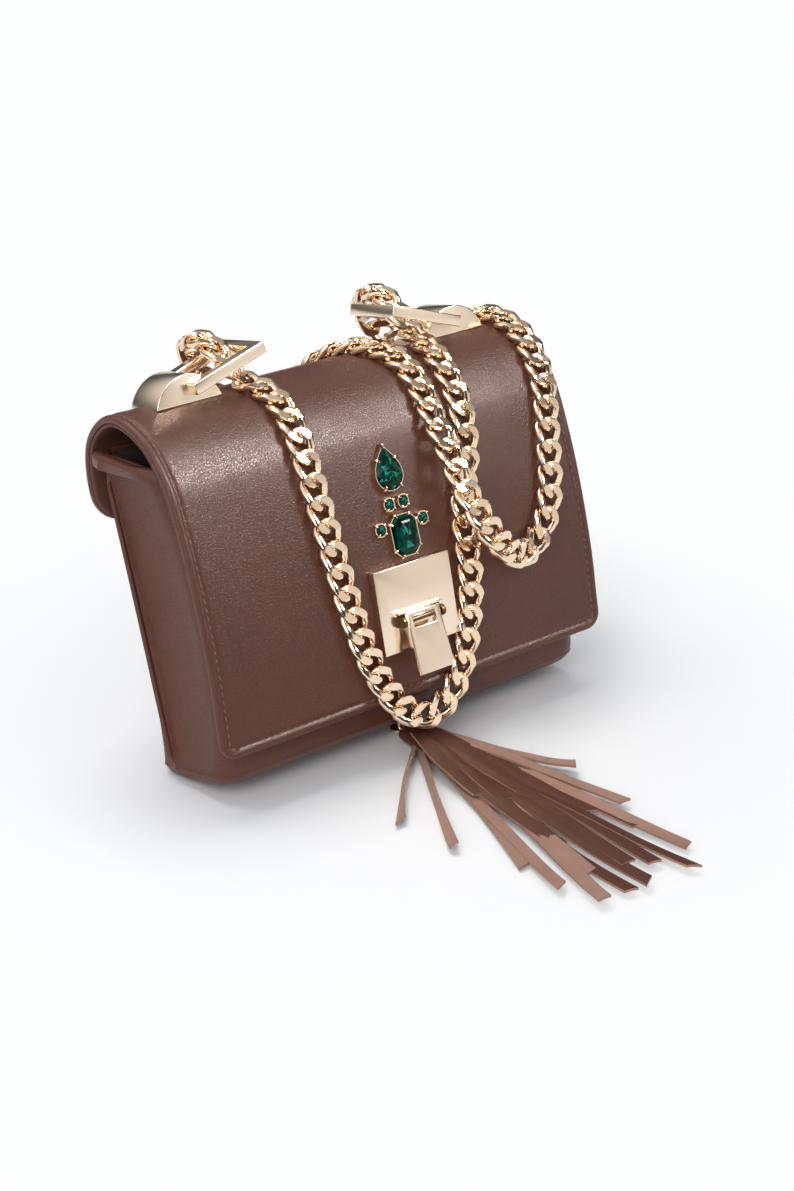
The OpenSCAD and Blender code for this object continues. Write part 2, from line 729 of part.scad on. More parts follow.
// The strap's route is a closed loop laid over the flap. Each point gives its place across
// the flap, its place along the flap's line and its height off the leather, as shares of
// the strap's reach, of the flap line's length and of the strap's own thickness.
// It runs from the left ring down the front, up to the right ring, behind the right arch,
// down and across the front again, over the crest and back behind.
strap_route_shares = [
    [-0.44, 0.85, 2.4], [-0.44, 0.815, 1.5], [-0.43, 0.788, 0.02], [-0.395, 0.75, -0.03],
    [-0.365, 0.70, 0], [-0.365, 0.64, 0], [-0.37, 0.58, 0], [-0.375, 0.52, 0], [-0.37, 0.45, 0],
    [-0.36, 0.38, 0], [-0.35, 0.31, 0], [-0.33, 0.24, 0], [-0.31, 0.17, 0], [-0.26, 0.09, 0],
    [-0.185, 0.01, 0], [-0.075, -0.05, 0], [0.05, -0.05, 0], [0.16, 0, 0], [0.23, 0.07, 0],
    [0.27, 0.15, 0], [0.3, 0.22, 0], [0.305, 0.28, 0], [0.315, 0.35, 0], [0.355, 0.415, 0],
    [0.41, 0.47, 0], [0.43, 0.525, 0], [0.445, 0.58, 0], [0.455, 0.64, 0], [0.465, 0.70, 0],
    [0.465, 0.75, -0.03], [0.46, 0.788, 0.25], [0.455, 0.812, 1.7], [0.465, 0.845, 2.5],
    [0.52, 0.885, 2.15], [0.6, 0.917, 1.45], [0.685, 0.923, 0.9], [0.77, 0.908, 0.5],
    [0.84, 0.87, 0.15], [0.885, 0.84, 0], [0.915, 0.79, 0], [0.93, 0.73, 0], [0.93, 0.67, 0],
    [0.915, 0.61, 0], [0.9, 0.56, 0], [0.87, 0.505, 0], [0.84, 0.44, 0], [0.81, 0.365, 0],
    [0.77, 0.295, 0], [0.67, 0.235, 0.02], [0.53, 0.22, 0.4], [0.4, 0.265, 1.05],
    [0.31, 0.335, 1.25], [0.26, 0.405, 1.1], [0.265, 0.475, 0.6], [0.28, 0.54, 0.12],
    [0.29, 0.60, 0], [0.295, 0.66, 0], [0.28, 0.72, 0], [0.24, 0.77, 0], [0.19, 0.81, 0],
    [0.135, 0.85, 0], [0.09, 0.9, 0], [0.05, 0.945, 0], [-0.03, 0.985, 0], [-0.15, 0.99, 0.02],
    [-0.25, 0.955, 0.2], [-0.315, 0.928, 1.05], [-0.37, 0.896, 1.95]];
function close_cut(p) = [for (i = [0 : len(p) - 1], k = [0, 1])
    p[i] * (k == 0 ? 0.75 : 0.25) + p[(i + 1) % len(p)] * (k == 0 ? 0.25 : 0.75)];
strap_places = close_cut(close_cut(strap_route_shares));
strap_n = len(strap_places);
// The flap's line, run on straight below its front edge and down its tail behind
strap_half = (link_w - link_wire) / 2 * sin(link_turn) + link_wire / 2;
strap_gap = 0.65;
lay_below = body_h * 0.2;
tail_out = shift(tail_in, flap_t);
lay_line = concat([flap_out[0] + unit(flap_out[0] - flap_out[1]) * lay_below], flap_out,
    [for (i = [1 : len(tail_out) - 1]) tail_out[i]]);
lay_n = len(lay_line);
lay_s = [for (i = 0, s = -lay_below; i < lay_n;
    s = s + (i < lay_n - 1 ? norm(lay_line[i + 1] - lay_line[i]) : 0), i = i + 1) s];
flap_run = lay_s[len(flap_out)];
function lay_axis(pts, k) = [for (i = [0 : lay_n - 1]) [lay_s[i] / flap_run, pts[i][k]]];
lay_y = lay_axis(lay_line, 0);
lay_z = lay_axis(lay_line, 1);
lay_side = [for (i = [0 : lay_n - 1]) [-tangent(lay_line, i)[1], tangent(lay_line, i)[0]]];
side_y = lay_axis(lay_side, 0);
side_z = lay_axis(lay_side, 1);
function lay_out(u) = unit([0, lookup(u, side_y), lookup(u, side_z)]);
// Reach of the strap to each side, from the place of the arches in its route
arch_at_share = 0.68;
strap_reach = arch_x / arch_at_share;
function laid(q) = [q[0] * strap_reach, lookup(q[1], lay_y), lookup(q[1], lay_z)]
    + lay_out(q[1]) * (strap_half + strap_gap + q[2] * 2 * strap_half);
strap_line = [for (q = strap_places) laid(q)];
function run(i) = norm(strap_line[(i + 1) % strap_n] - strap_line[i]);
strap_s = [for (i = 0, s = 0; i <= strap_n; s = s + run(i % strap_n), i = i + 1) s];
strap_len = strap_s[strap_n];
link_count = 2 * round(strap_len / link_pitch / 2);
step = strap_len / link_count;
function strap_axis(pts, k) = [for (i = [0 : strap_n]) [strap_s[i], pts[i % strap_n][k]]];
strap_x = strap_axis(strap_line, 0);
strap_y = strap_axis(strap_line, 1);
strap_z = strap_axis(strap_line, 2);
strap_u = strap_axis(strap_places, 1);
function strap_at(s) = [lookup(s, strap_x), lookup(s, strap_y), lookup(s, strap_z)];
module at_link(k) {
    a = strap_at(k * step);
    b = strap_at((k + 1) * step);
    u = unit(b - a);
    v = unit(cross(lay_out(lookup((k + 0.5) * step, strap_u)), u));
    w = cross(u, v);
    turn = k % 2 == 0 ? link_turn : -link_turn;
    translate((a + b) / 2) rotate([atan2(v[2], w[2]) + turn, -asin(u[2]), atan2(u[1], u[0])])
        children();
}
// One link: a race track of round wire
link_slack = 1.08;
// Rounding of the straight wires, so that a link's pieces meet face to face
grain = 0.01;
module link() {
    r = (link_w - link_wire) / 2;
    straight = 2 * grain * round((step + link_slack + link_wire - 2 * r) / (2 * grain));
    union() {
        link_bend(r, straight);
        mirror([1, 0, 0]) link_bend(r, straight);
        for (y = [-r, r]) translate([-straight / 2, y, 0]) rotate([0, 90, 0])
            cylinder(r = link_wire / 2, h = straight, $fn = 24);
    }
}
module link_bend(r, straight) {
    translate([straight / 2, 0, 0]) rotate([0, 0, -90]) rotate_extrude(angle = 180)
        translate([r, 0]) circle(link_wire / 2, $fn = 24);
}
// Shares of the loop at which one stretch of the strap ends and the next begins
stretch_shares = [0, 0.045, 0.18, 0.255, 0.425, 0.525, 0.715, 0.885, 0.965, 1];
module stretch(a, b) {
    color(gold_tone) stand() for (k = [round(stretch_shares[a] * link_count) :
        round(stretch_shares[b] * link_count) - 1]) at_link(k) link();
}
module chain_left_crest() {
    stretch(0, 1);
    stretch(8, 9);
}
module chain_front_left() stretch(1, 2);
module chain_low_loop() stretch(2, 3);
module chain_front_right() stretch(3, 4);
module chain_right_crest() stretch(4, 5);
module chain_side_loop() stretch(5, 6);
module chain_cross() stretch(6, 7);
module chain_back() stretch(7, 8);

// Tassel: it lies on the floor in front of the swivel post under the base
module tassel_post() color(gold_tone) {
    flange_z = leather_t + 2 * seat_gap + post_lift;
    difference() {
        union() {
            translate([0, post_y, foot_z]) cylinder(r = post_r, h = body_d);
            translate([0, post_y, foot_z]) cylinder(r = post_r * 1.6, h = foot_t);
            intersection() {
                translate([0, post_y, foot_z]) cylinder(r = post_flange_r, h = body_d);
                stand() above(flange_z);
            }
        }
        stand() above(flange_z + post_flange_t);
    }
}
foot_z = 0.3;
foot_t = 0.8;
eye_t = 1.6;
eye_r = 4.2;
eye_z = foot_z + foot_t + run_gap;
module tassel_eye() color(gold_tone) {
    translate([0, post_y, eye_z]) difference() {
        union() {
            cylinder(r = eye_r, h = eye_t);
            translate([-eye_r / 2, -eye_r - neck_l - sleeve_wall * 2, 0])
                cube([eye_r, eye_r + neck_l + sleeve_wall * 2, eye_t]);
        }
        translate([0, 0, -cut]) cylinder(r = post_r + pin_gap, h = eye_t + 2 * cut);
    }
}
sleeve_wall = 1.3;
neck_l = 3.2;
sleeve_y = post_y - eye_r - neck_l;
module tassel_sleeve() color(leather_tone) {
    r = sleeve_h * 0.4;
    translate([0, sleeve_y, 0]) rotate([90, 0, 0]) difference() {
        linear_extrude(sleeve_l) sleeve_outline(sleeve_w, sleeve_h, r);
        translate([0, sleeve_wall, sleeve_wall])
            linear_extrude(sleeve_l) sleeve_outline(sleeve_w - 2 * sleeve_wall,
                sleeve_h - 2 * sleeve_wall, r - sleeve_wall);
        translate([-eye_r / 2 - seat_gap, eye_z - seat_gap, -cut])
            cube([eye_r + 2 * seat_gap, eye_t + 2 * seat_gap, sleeve_wall + 2 * cut]);
    }
}
module sleeve_outline(w, h, r) {
    union() {
        translate([-w / 2 + r, 0]) square([w - 2 * r, h]);
        translate([-w / 2, r]) square([w, h - 2 * r]);
        for (x = [-1, 1], y = [0, 1])
            translate([x * (w / 2 - r), y == 0 ? r : h - r]) circle(r);
    }
}
// Strip tips as shares of the tassel's length, to the right and forward of its root
low_tip_shares = [[-0.31, 0.35], [-0.29, 0.53], [-0.225, 0.83], [-0.185, 0.95], [-0.06, 0.94],
    [0.05, 0.965], [0.145, 0.885], [0.215, 0.4]];
middle_tip_shares = [[-0.165, 0.43], [-0.225, 0.7], [-0.13, 0.82], [0.0, 0.86], [0.13, 0.71],
    [0.19, 0.62]];
top_tip_shares = [[-0.115, 0.7], [-0.08, 0.39], [-0.03, 0.58], [0.035, 0.7], [0.06, 0.46]];
root_y = sleeve_y - sleeve_l + sleeve_wall / 2;
// A curved strip from the sleeve to its tip
module strip(tip, x0) {
    steps = 8;
    a = [x0, root_y];
    b = [x0 + tip[0] * tassel_len * 0.35, root_y - tip[1] * tassel_len * 0.5];
    c = [x0 / 2 + tip[0] * tassel_len, root_y - tip[1] * tassel_len];
    line = [for (i = [0 : steps]) let(t = i / steps)
        (1 - t) * (1 - t) * a + 2 * t * (1 - t) * b + t * t * c];
    polygon(concat(shift(line, strip_w / 2), flip(shift(line, -strip_w / 2))));
}
module fringe(tips, z) {
    n = len(tips);
    spread = sleeve_w - 4 * sleeve_wall - strip_w;
    translate([0, 0, z]) linear_extrude(strip_t) union() {
        for (i = [0 : n - 1]) strip(tips[i], spread * (i / (n - 1) - 0.5));
        translate([-spread / 2 - strip_w / 2 + run_gap, root_y - run_gap])
            square([spread + strip_w - 2 * run_gap, sleeve_l - sleeve_wall * 4]);
    }
}
module tassel_fringe_low() color(suede_tone) {
    difference() {
        fringe(low_tip_shares, 0);
        translate([-sleeve_w, root_y, -cut]) cube([2 * sleeve_w, sleeve_l * 2, strip_t * 2]);
        translate([0, sleeve_y - sleeve_l - run_gap, -cut]) linear_extrude(strip_t * 2)
            translate([-sleeve_w, 0]) square([2 * sleeve_w, sleeve_l * 2]);
    }
}
layer_gap = 0.2;
module tassel_fringe_middle() color(leather_tone) {
    fringe(middle_tip_shares, strip_t + layer_gap);
}
module tassel_fringe_top() color(leather_tone) {
    fringe(top_tip_shares, 2 * (strip_t + layer_gap));
}

base_panel();
back_panel();
front_panel();
mouth_binding();
body_board();
lining();
body_magnet();
flap_back();
flap_outer();
flap_board();
flap_lining();
flap_magnet();
lock_plate();
lock_knuckle();
lock_pin();
lock_backing();
lock_rivets();
lock_lever();
octagon_setting();
octagon_stone();
pear_setting();
pear_stone();
small_settings();
small_stones();
stone_rivets();
arch_left();
arch_right();
arch_backings();
arch_screws();
ring_left();
ring_left_pin();
ring_right();
ring_right_pin();
chain_left_crest();
chain_front_left();
chain_low_loop();
chain_front_right();
chain_right_crest();
chain_side_loop();
chain_cross();
chain_back();
tassel_post();
tassel_sleeve();
tassel_eye();
tassel_fringe_low();
tassel_fringe_middle();
tassel_fringe_top();
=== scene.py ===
"""A small leather flap bag with a curb chain strap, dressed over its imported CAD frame."""

import json
import math
import random

import bmesh
import bpy
import numpy as np
from mathutils import Matrix, Vector

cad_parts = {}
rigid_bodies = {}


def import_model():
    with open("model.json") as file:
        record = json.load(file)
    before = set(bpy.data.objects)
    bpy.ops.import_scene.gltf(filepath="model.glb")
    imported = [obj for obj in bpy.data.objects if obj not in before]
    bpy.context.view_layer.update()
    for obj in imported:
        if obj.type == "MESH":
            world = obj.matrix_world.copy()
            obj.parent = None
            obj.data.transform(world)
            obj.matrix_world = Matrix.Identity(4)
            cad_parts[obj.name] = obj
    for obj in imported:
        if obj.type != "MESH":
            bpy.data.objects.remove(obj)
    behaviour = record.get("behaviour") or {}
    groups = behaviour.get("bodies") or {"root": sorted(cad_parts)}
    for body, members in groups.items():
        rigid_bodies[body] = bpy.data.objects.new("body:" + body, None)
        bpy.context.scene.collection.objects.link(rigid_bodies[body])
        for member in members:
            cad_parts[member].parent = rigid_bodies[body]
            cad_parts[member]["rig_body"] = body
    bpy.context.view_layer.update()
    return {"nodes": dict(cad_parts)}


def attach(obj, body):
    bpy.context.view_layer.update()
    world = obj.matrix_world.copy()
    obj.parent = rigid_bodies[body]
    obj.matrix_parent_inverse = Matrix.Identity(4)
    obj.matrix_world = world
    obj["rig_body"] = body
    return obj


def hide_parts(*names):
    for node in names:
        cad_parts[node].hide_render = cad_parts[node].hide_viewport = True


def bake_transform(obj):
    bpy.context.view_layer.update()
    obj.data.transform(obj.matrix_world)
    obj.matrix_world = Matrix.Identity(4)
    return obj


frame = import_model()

MM = 0.001

# Studio
# The bag stands on pale paper in an even white light. A small lamp at the right and the panels
# of a dark room show only as shine. The camera looks down on the left front corner.
PHOTO_HEIGHT, FOCAL_PIXELS, SENSOR = 1191, 2600, 36.0
LEAN, REAR_EDGE_RADIUS, WORN_FLAT = math.radians(12.5), 8.0, 0.5
STAND_Y = REAR_EDGE_RADIUS * (math.cos(LEAN) - math.sin(LEAN))
STAND_Z = REAR_EDGE_RADIUS * (1 - math.cos(LEAN) - math.sin(LEAN)) - WORN_FLAT
LOOKED_AT = Vector((0, 0, 0.07))
PAPER_WHITE = (0.98, 0.985, 0.99, 1)
FADE_NEAR, FADE_FAR, PAPER_IN_METAL = 0.11, 0.25, 0.8
DARK_ROOM, AMBIENT = 0.06, 0.45
# Each panel: its direction, the cosines at which it starts and is full, and its brightness.
PANELS = (((0.60, -0.79, 0.0), 0.88, 0.97, 0.72), ((-0.2, 0.3, 0.93), 0.35, 0.95, 0.9),
          ((-0.95, 0.0, 0.3), 0.85, 0.97, 0.7), ((0.0, 0.0, -1.0), 0.02, 0.3, 0.8))

camera_data = bpy.data.cameras.new("camera")
camera = bpy.data.objects.new("camera", camera_data)
bpy.context.scene.collection.objects.link(camera)
camera_data.sensor_fit = "AUTO"
camera_data.sensor_width = SENSOR
camera_data.lens = SENSOR * FOCAL_PIXELS / PHOTO_HEIGHT
camera_data.clip_end = 20
camera_place = Vector((-620.9, -760.9 + STAND_Y, 483.5 + STAND_Z)) * MM
camera.matrix_world = Matrix.Translation(camera_place) @ Matrix((
    (0.7613, 0.2581, -0.5948), (-0.6484, 0.3093, -0.6956), (0.0044, 0.9152, 0.4029))).to_4x4()
bpy.context.scene.camera = camera
bpy.context.scene.view_settings.view_transform = "Standard"


def soft_box(name, place, size, watts, tone=(1, 1, 1)):
    """A rectangular studio light that looks at the bag."""
    data = bpy.data.lights.new(name, "AREA")
    data.shape = "RECTANGLE"
    data.size, data.size_y = size
    data.energy, data.color = watts, tone
    lamp = bpy.data.objects.new(name, data)
    bpy.context.scene.collection.objects.link(lamp)
    lamp.location = place
    lamp.rotation_euler = (LOOKED_AT - Vector(place)).to_track_quat("-Z", "Y").to_euler()
    return lamp


def feed(tree, node, inputs):
    """Gives each input of a shader node a value or another node's output."""
    for socket, value in inputs.items():
        if isinstance(value, bpy.types.NodeSocket):
            tree.links.new(value, node.inputs[socket])
        else:
            node.inputs[socket].default_value = value


def add_node(tree, kind, inputs=None, output=0, **settings):
    """Adds a shader node and gives one of its outputs."""
    node = tree.nodes.new("ShaderNode" + kind)
    for setting_name, value in settings.items():
        setattr(node, setting_name, value)
    feed(tree, node, inputs or {})
    return node.outputs[output]


def math_node(tree, operation, *values):
    """The result of a Math node fed by sockets or numbers."""
    return add_node(tree, "Math", dict(enumerate(values)), operation=operation)


shine_light = soft_box("shine_light", (0.475, -0.57, 0.77), (0.25, 0.40), 18,
                       tone=(1, 0.93, 0.87))
shine_light.visible_diffuse = False
soft_box("top_light", (-0.05, 0.35, 1.3), (0.8, 0.6), 8)
soft_box("left_fill", (-1.1, -0.8, 0.9), (0.9, 0.9), 10)

world = bpy.data.worlds.new("studio")
bpy.context.scene.world = world
world.use_nodes = True
tree = world.node_tree
tree.nodes.clear()
direction = add_node(tree, "TexCoord", output="Generated")
glow = DARK_ROOM
for aim, start, full, strength in PANELS:
    facing = add_node(tree, "VectorMath", {0: direction, 1: aim}, "Value",
                      operation="DOT_PRODUCT")
    panel = add_node(tree, "MapRange", {"Value": facing, "From Min": start, "From Max": full,
                                        "To Max": strength}, interpolation_type="SMOOTHSTEP")
    glow = math_node(tree, "ADD", glow, panel)
room = add_node(tree, "Background", {"Color": (1.0, 0.99, 0.98, 1), "Strength": glow})
ambient = add_node(tree, "Background", {"Color": (0.93, 0.96, 1.0, 1), "Strength": AMBIENT})
backdrop = add_node(tree, "Background", {"Color": PAPER_WHITE})
soft_or_gloss = add_node(tree, "MixShader", {
    "Fac": add_node(tree, "LightPath", output="Is Glossy Ray"), 1: ambient, 2: room})
seen = math_node(tree, "MAXIMUM", add_node(tree, "LightPath", output="Is Camera Ray"),
                 add_node(tree, "LightPath", output="Is Transmission Ray"))
chosen = add_node(tree, "MixShader", {"Fac": seen, 1: soft_or_gloss, 2: backdrop})
feed(tree, tree.nodes.new("ShaderNodeOutputWorld"), {"Surface": chosen})

bpy.ops.object.select_all(action="DESELECT")
bpy.ops.mesh.primitive_plane_add(size=8, location=(0, 0, 0))
floor = bpy.context.object
floor.name = "studio_floor"
paper = bpy.data.materials.new("studio_paper")
paper.use_nodes = True
tree = paper.node_tree
shader = tree.nodes["Principled BSDF"]
feed(tree, shader, {"Base Color": (0.955, 0.96, 0.97, 1), "Roughness": 0.8,
                    "Specular IOR Level": 0.1})
from_bag = add_node(tree, "VectorMath", {0: add_node(tree, "TexCoord", output="Object")},
                    "Value", operation="LENGTH")
fade = add_node(tree, "MapRange", {"Value": from_bag, "From Min": FADE_NEAR,
                                   "From Max": FADE_FAR}, interpolation_type="SMOOTHSTEP")
shown_to = math_node(tree, "MULTIPLY_ADD", add_node(tree, "LightPath", output="Is Glossy Ray"),
                     PAPER_IN_METAL, add_node(tree, "LightPath", output="Is Camera Ray"))
lit_paper = add_node(tree, "Emission", {"Color": PAPER_WHITE})
to_white = add_node(tree, "MixShader", {"Fac": math_node(tree, "MULTIPLY", fade, shown_to),
                                        1: shader.outputs[0], 2: lit_paper})
feed(tree, tree.nodes["Material Output"], {0: to_white})
floor.data.materials.append(paper)

# Leather
# Brown calf leather with a fine pebbled grain and a satin finish, cut with a knife and skived
# at its edges. Every outer leather piece of the bag is cut from it.


def noise(tree, scale, detail, output="Fac", distortion=0.0):
    """A noise fixed to the object."""
    return add_node(tree, "TexNoise", {
        "Vector": add_node(tree, "TexCoord", output="Object"), "Scale": scale,
        "Detail": detail, "Distortion": distortion}, output)


def new_material(name):
    """A material, its node tree and its shader."""
    material = bpy.data.materials.new(name)
    material.use_nodes = True
    return material, material.node_tree, material.node_tree.nodes["Principled BSDF"]


def two_tone(tree, share, dark, light):
    """A colour between a dark and a light one."""
    return add_node(tree, "MixRGB", {"Fac": share, "Color1": (*dark, 1), "Color2": (*light, 1)})


def relief(tree, height, depth, strength=1.0):
    """The normal of a bumpy surface, its depth in millimetres."""
    return add_node(tree, "Bump", {"Height": height, "Distance": depth * MM,
                                   "Strength": strength}, "Normal")


grain_group = bpy.data.node_groups.new("leather_grain", "ShaderNodeTree")
for side, names in (("INPUT", ("Cell Size", "Crease")), ("OUTPUT", ("Height", "Valley", "Cloud"))):
    for socket in names:
        grain_group.interface.new_socket(socket, in_out=side, socket_type="NodeSocketFloat")
given = grain_group.nodes.new("NodeGroupInput").outputs
warped = add_node(grain_group, "MixRGB", {
    "Fac": 0.0006, "Color1": add_node(grain_group, "TexCoord", output="Object"),
    "Color2": noise(grain_group, 900, 2, "Color")}, blend_type="LINEAR_LIGHT")
cells = add_node(grain_group, "TexVoronoi", {
    "Vector": warped, "Scale": math_node(grain_group, "DIVIDE", 1.0, given["Cell Size"])},
    "Distance", feature="DISTANCE_TO_EDGE")
pebble = add_node(grain_group, "MapRange", {"Value": cells, "From Max": 0.22},
                  interpolation_type="SMOOTHSTEP")
pores = math_node(grain_group, "MULTIPLY", noise(grain_group, 3500, 3), 0.35)
folds = math_node(grain_group, "MULTIPLY", noise(grain_group, 160, 4, distortion=0.8),
                  given["Crease"])
feed(grain_group, grain_group.nodes.new("NodeGroupOutput"), {
    "Height": math_node(grain_group, "ADD", math_node(grain_group, "ADD", pebble, pores), folds),
    "Valley": pebble, "Cloud": noise(grain_group, 28, 5)})


def leather(name, dark, light, rough, cell, bump, crease=0.6, sheen=0.0, gloss_level=0.35):
    """A grained leather whose valleys are darker and less shiny than its pebbles."""
    material, tree, shader = new_material(name)
    grain = add_node(tree, "Group", {"Cell Size": cell * MM, "Crease": crease},
                     node_tree=grain_group).node.outputs
    cloud = math_node(tree, "MULTIPLY_ADD", grain["Cloud"], 0.7, -0.1)
    share = math_node(tree, "ADD", cloud, math_node(tree, "MULTIPLY", grain["Valley"], 0.45))
    gloss = add_node(tree, "MapRange", {"Value": grain["Valley"], "To Min": rough + 0.12,
                                        "To Max": rough})
    feed(tree, shader, {"Base Color": two_tone(tree, share, dark, light), "Roughness": gloss,
                        "Sheen Weight": sheen, "Specular IOR Level": gloss_level,
                        "Normal": relief(tree, grain["Height"], bump, 0.6)})
    return material


brown_calf = leather("brown_calf", (0.080, 0.0255, 0.0140), (0.142, 0.0475, 0.0275), rough=0.29,
                     cell=1.0, bump=0.085)
inner_calf = leather("inner_calf", (0.085, 0.034, 0.024), (0.145, 0.062, 0.045), rough=0.6,
                     cell=0.6, bump=0.035)

# Body
# A soft box of calf leather over board: a back panel that wraps round both sides, a front
# panel that is also the gussets, and a shallow moulded base. It widens a little to its mouth.


def leaned(points, angle):
    """Points leaned back about the X axis."""
    p = np.asarray(points, float)
    return np.stack([p[..., 0], p[..., 1] * math.cos(angle) + p[..., 2] * math.sin(angle),
                     p[..., 2] * math.cos(angle) - p[..., 1] * math.sin(angle)], -1)


def stood(points):
    """Millimetres on the upright bag to metres in the frame, leaning back on its rear edge."""
    return (leaned(points, LEAN) + [0, STAND_Y, STAND_Z]) * MM


def unit(v):
    """A vector, or each row of an array, at length 1."""
    return v / np.linalg.norm(v, axis=-1, keepdims=True)


def held(v):
    """A value held between 0 and 1."""
    return np.clip(v, 0.0, 1.0)


def chaikin(points):
    """Corner cutting that rounds a line and keeps its ends, as the frame's outlines do."""
    p = np.asarray(points, float)
    cut = [p[0]]
    for a, b in zip(p[:-1], p[1:]):
        cut += [a * 0.75 + b * 0.25, a * 0.25 + b * 0.75]
    return np.array(cut + [p[-1]])


def side_step(p, d):
    """The line moved by d to its left."""
    t = unit(np.vstack([p[1:], p[-1:]]) - np.vstack([p[:1], p[:-1]]))
    return p + d * np.stack([-t[:, 1], t[:, 0]], 1)


def arc(centre, radius, start, end, steps):
    """Points round a corner, angles in degrees."""
    a = np.radians(np.linspace(start, end, steps + 1))
    return np.asarray(centre) + radius * np.stack([np.cos(a), np.sin(a)], 1)


def grid_faces(rows, columns, closed=False):
    """Faces of a grid of points stored row by row."""
    wrap = columns if closed else columns - 1
    return [(r * columns + c, r * columns + (c + 1) % columns,
             (r + 1) * columns + (c + 1) % columns, (r + 1) * columns + c)
            for r in range(rows - 1) for c in range(wrap)]


def swept(sections, open_start=False):
    """Points and faces of a closed form through equal sections, or of a tub with one end."""
    rows, columns = len(sections), len(sections[0])
    faces = grid_faces(rows, columns, closed=True)
    faces.append(range((rows - 1) * columns, rows * columns))
    if not open_start:
        faces.append(range(columns))
    return np.vstack(sections), faces


def only(o):
    """Selects this object alone."""
    bpy.ops.object.select_all(action="DESELECT")
    o.select_set(True)
    bpy.context.view_layer.objects.active = o


def close_mesh(o, smooth=None, flip=False):
    """Merges doubles, points the faces outwards and smooths the blunt edges, if asked."""
    work = bmesh.new()
    work.from_mesh(o.data)
    bmesh.ops.remove_doubles(work, verts=work.verts, dist=1e-7)
    bmesh.ops.recalc_face_normals(work, faces=work.faces)
    if flip:
        bmesh.ops.reverse_faces(work, faces=work.faces)
    work.to_mesh(o.data)
    work.free()
    only(o)
    if smooth:
        bpy.ops.object.shade_smooth_by_angle(angle=math.radians(smooth))


def add_piece(name, shape, *materials, marks=None, smooth=35, flip=False):
    """A mesh object of points and faces; marks give each face its material."""
    mesh = bpy.data.meshes.new(name)
    mesh.from_pydata([tuple(p) for p in shape[0]], [], [tuple(f) for f in shape[1]])
    made = bpy.data.objects.new(name, mesh)
    bpy.context.scene.collection.objects.link(made)
    for material in materials:
        mesh.materials.append(material)
    if marks:
        mesh.polygons.foreach_set("material_index", marks)
    close_mesh(made, smooth, flip)
    return made


def apply_modifier(o, kind, **settings):
    """Adds a modifier and applies it."""
    m = o.modifiers.new(kind.lower(), kind)
    for setting_name, value in settings.items():
        setattr(m, setting_name, value)
    only(o)
    bpy.ops.object.modifier_apply(modifier=m.name)


def hang(piece, body, slot, *nodes):
    """Puts a piece on its body, in the place of the frame's nodes. The slot is not used."""
    if body:
        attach(piece, body)
    if nodes:
        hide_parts(*nodes)


BODY_D, BODY_H = 49.0, 134.0
FRONT_EDGE_RADIUS, BASE_LIP, PANEL_T = 11.0, 5.0, 1.7
HALF_WIDTH, FLARE, FLARE_HEIGHT = 95.2, 2.8, 125
FRONT_CORNER, REAR_CORNER, TUCK = 12.0, 7.0, 5.0
SEAM_LOW, SEAM_RISE = 14.0, 6.0
GUSSET_PUFF, BACK_PUFF, BACK_FILL, FRONT_PUFF = 3.0, 1.2, 2.6, 0.7
SEAM_GROOVE, BASE_GROOVE, CREASE = 2.4, 0.5, 0.16
MOUTH_REAR, MOUTH_FRONT = 133.3, 127.3
NEAR_SEAM = np.array([0, 0.35, 0.8, 1.5, 2.6])
BACK_SIDE_SHARES = np.array([0, 0.05, 0.12, 0.22, 0.38, 0.6, 0.8, 1])
front_shares = [(-1.03, 0.17), (-1.047, 0.33), (-1.035, 0.48), (-1.0, 0.62), (-0.95, 0.745),
                (-0.885, 0.85), (-0.82, 0.91), (-0.75, 0.95)]
rear_shares = [(0.017, 0.995), (0.05, 0.92), (0.046, 0.82), (0.03, 0.6), (0.016, 0.3)]
in_body = np.array([BODY_D, BODY_H])
front_line = np.vstack([
    arc((FRONT_EDGE_RADIUS - BODY_D, FRONT_EDGE_RADIUS), FRONT_EDGE_RADIUS, 270, 180, 12),
    chaikin(chaikin(np.array(front_shares) * in_body))])
rear_line = np.vstack([
    arc((-REAR_EDGE_RADIUS, REAR_EDGE_RADIUS), REAR_EDGE_RADIUS, -90, 0, 12),
    chaikin(chaikin(np.array(rear_shares) * in_body))[::-1]])


def mirrored(points):
    """A run of points from the right side to the middle, and on to the left side."""
    return np.array(points + [(-x, y) for x, y in points[::-1][1:]])


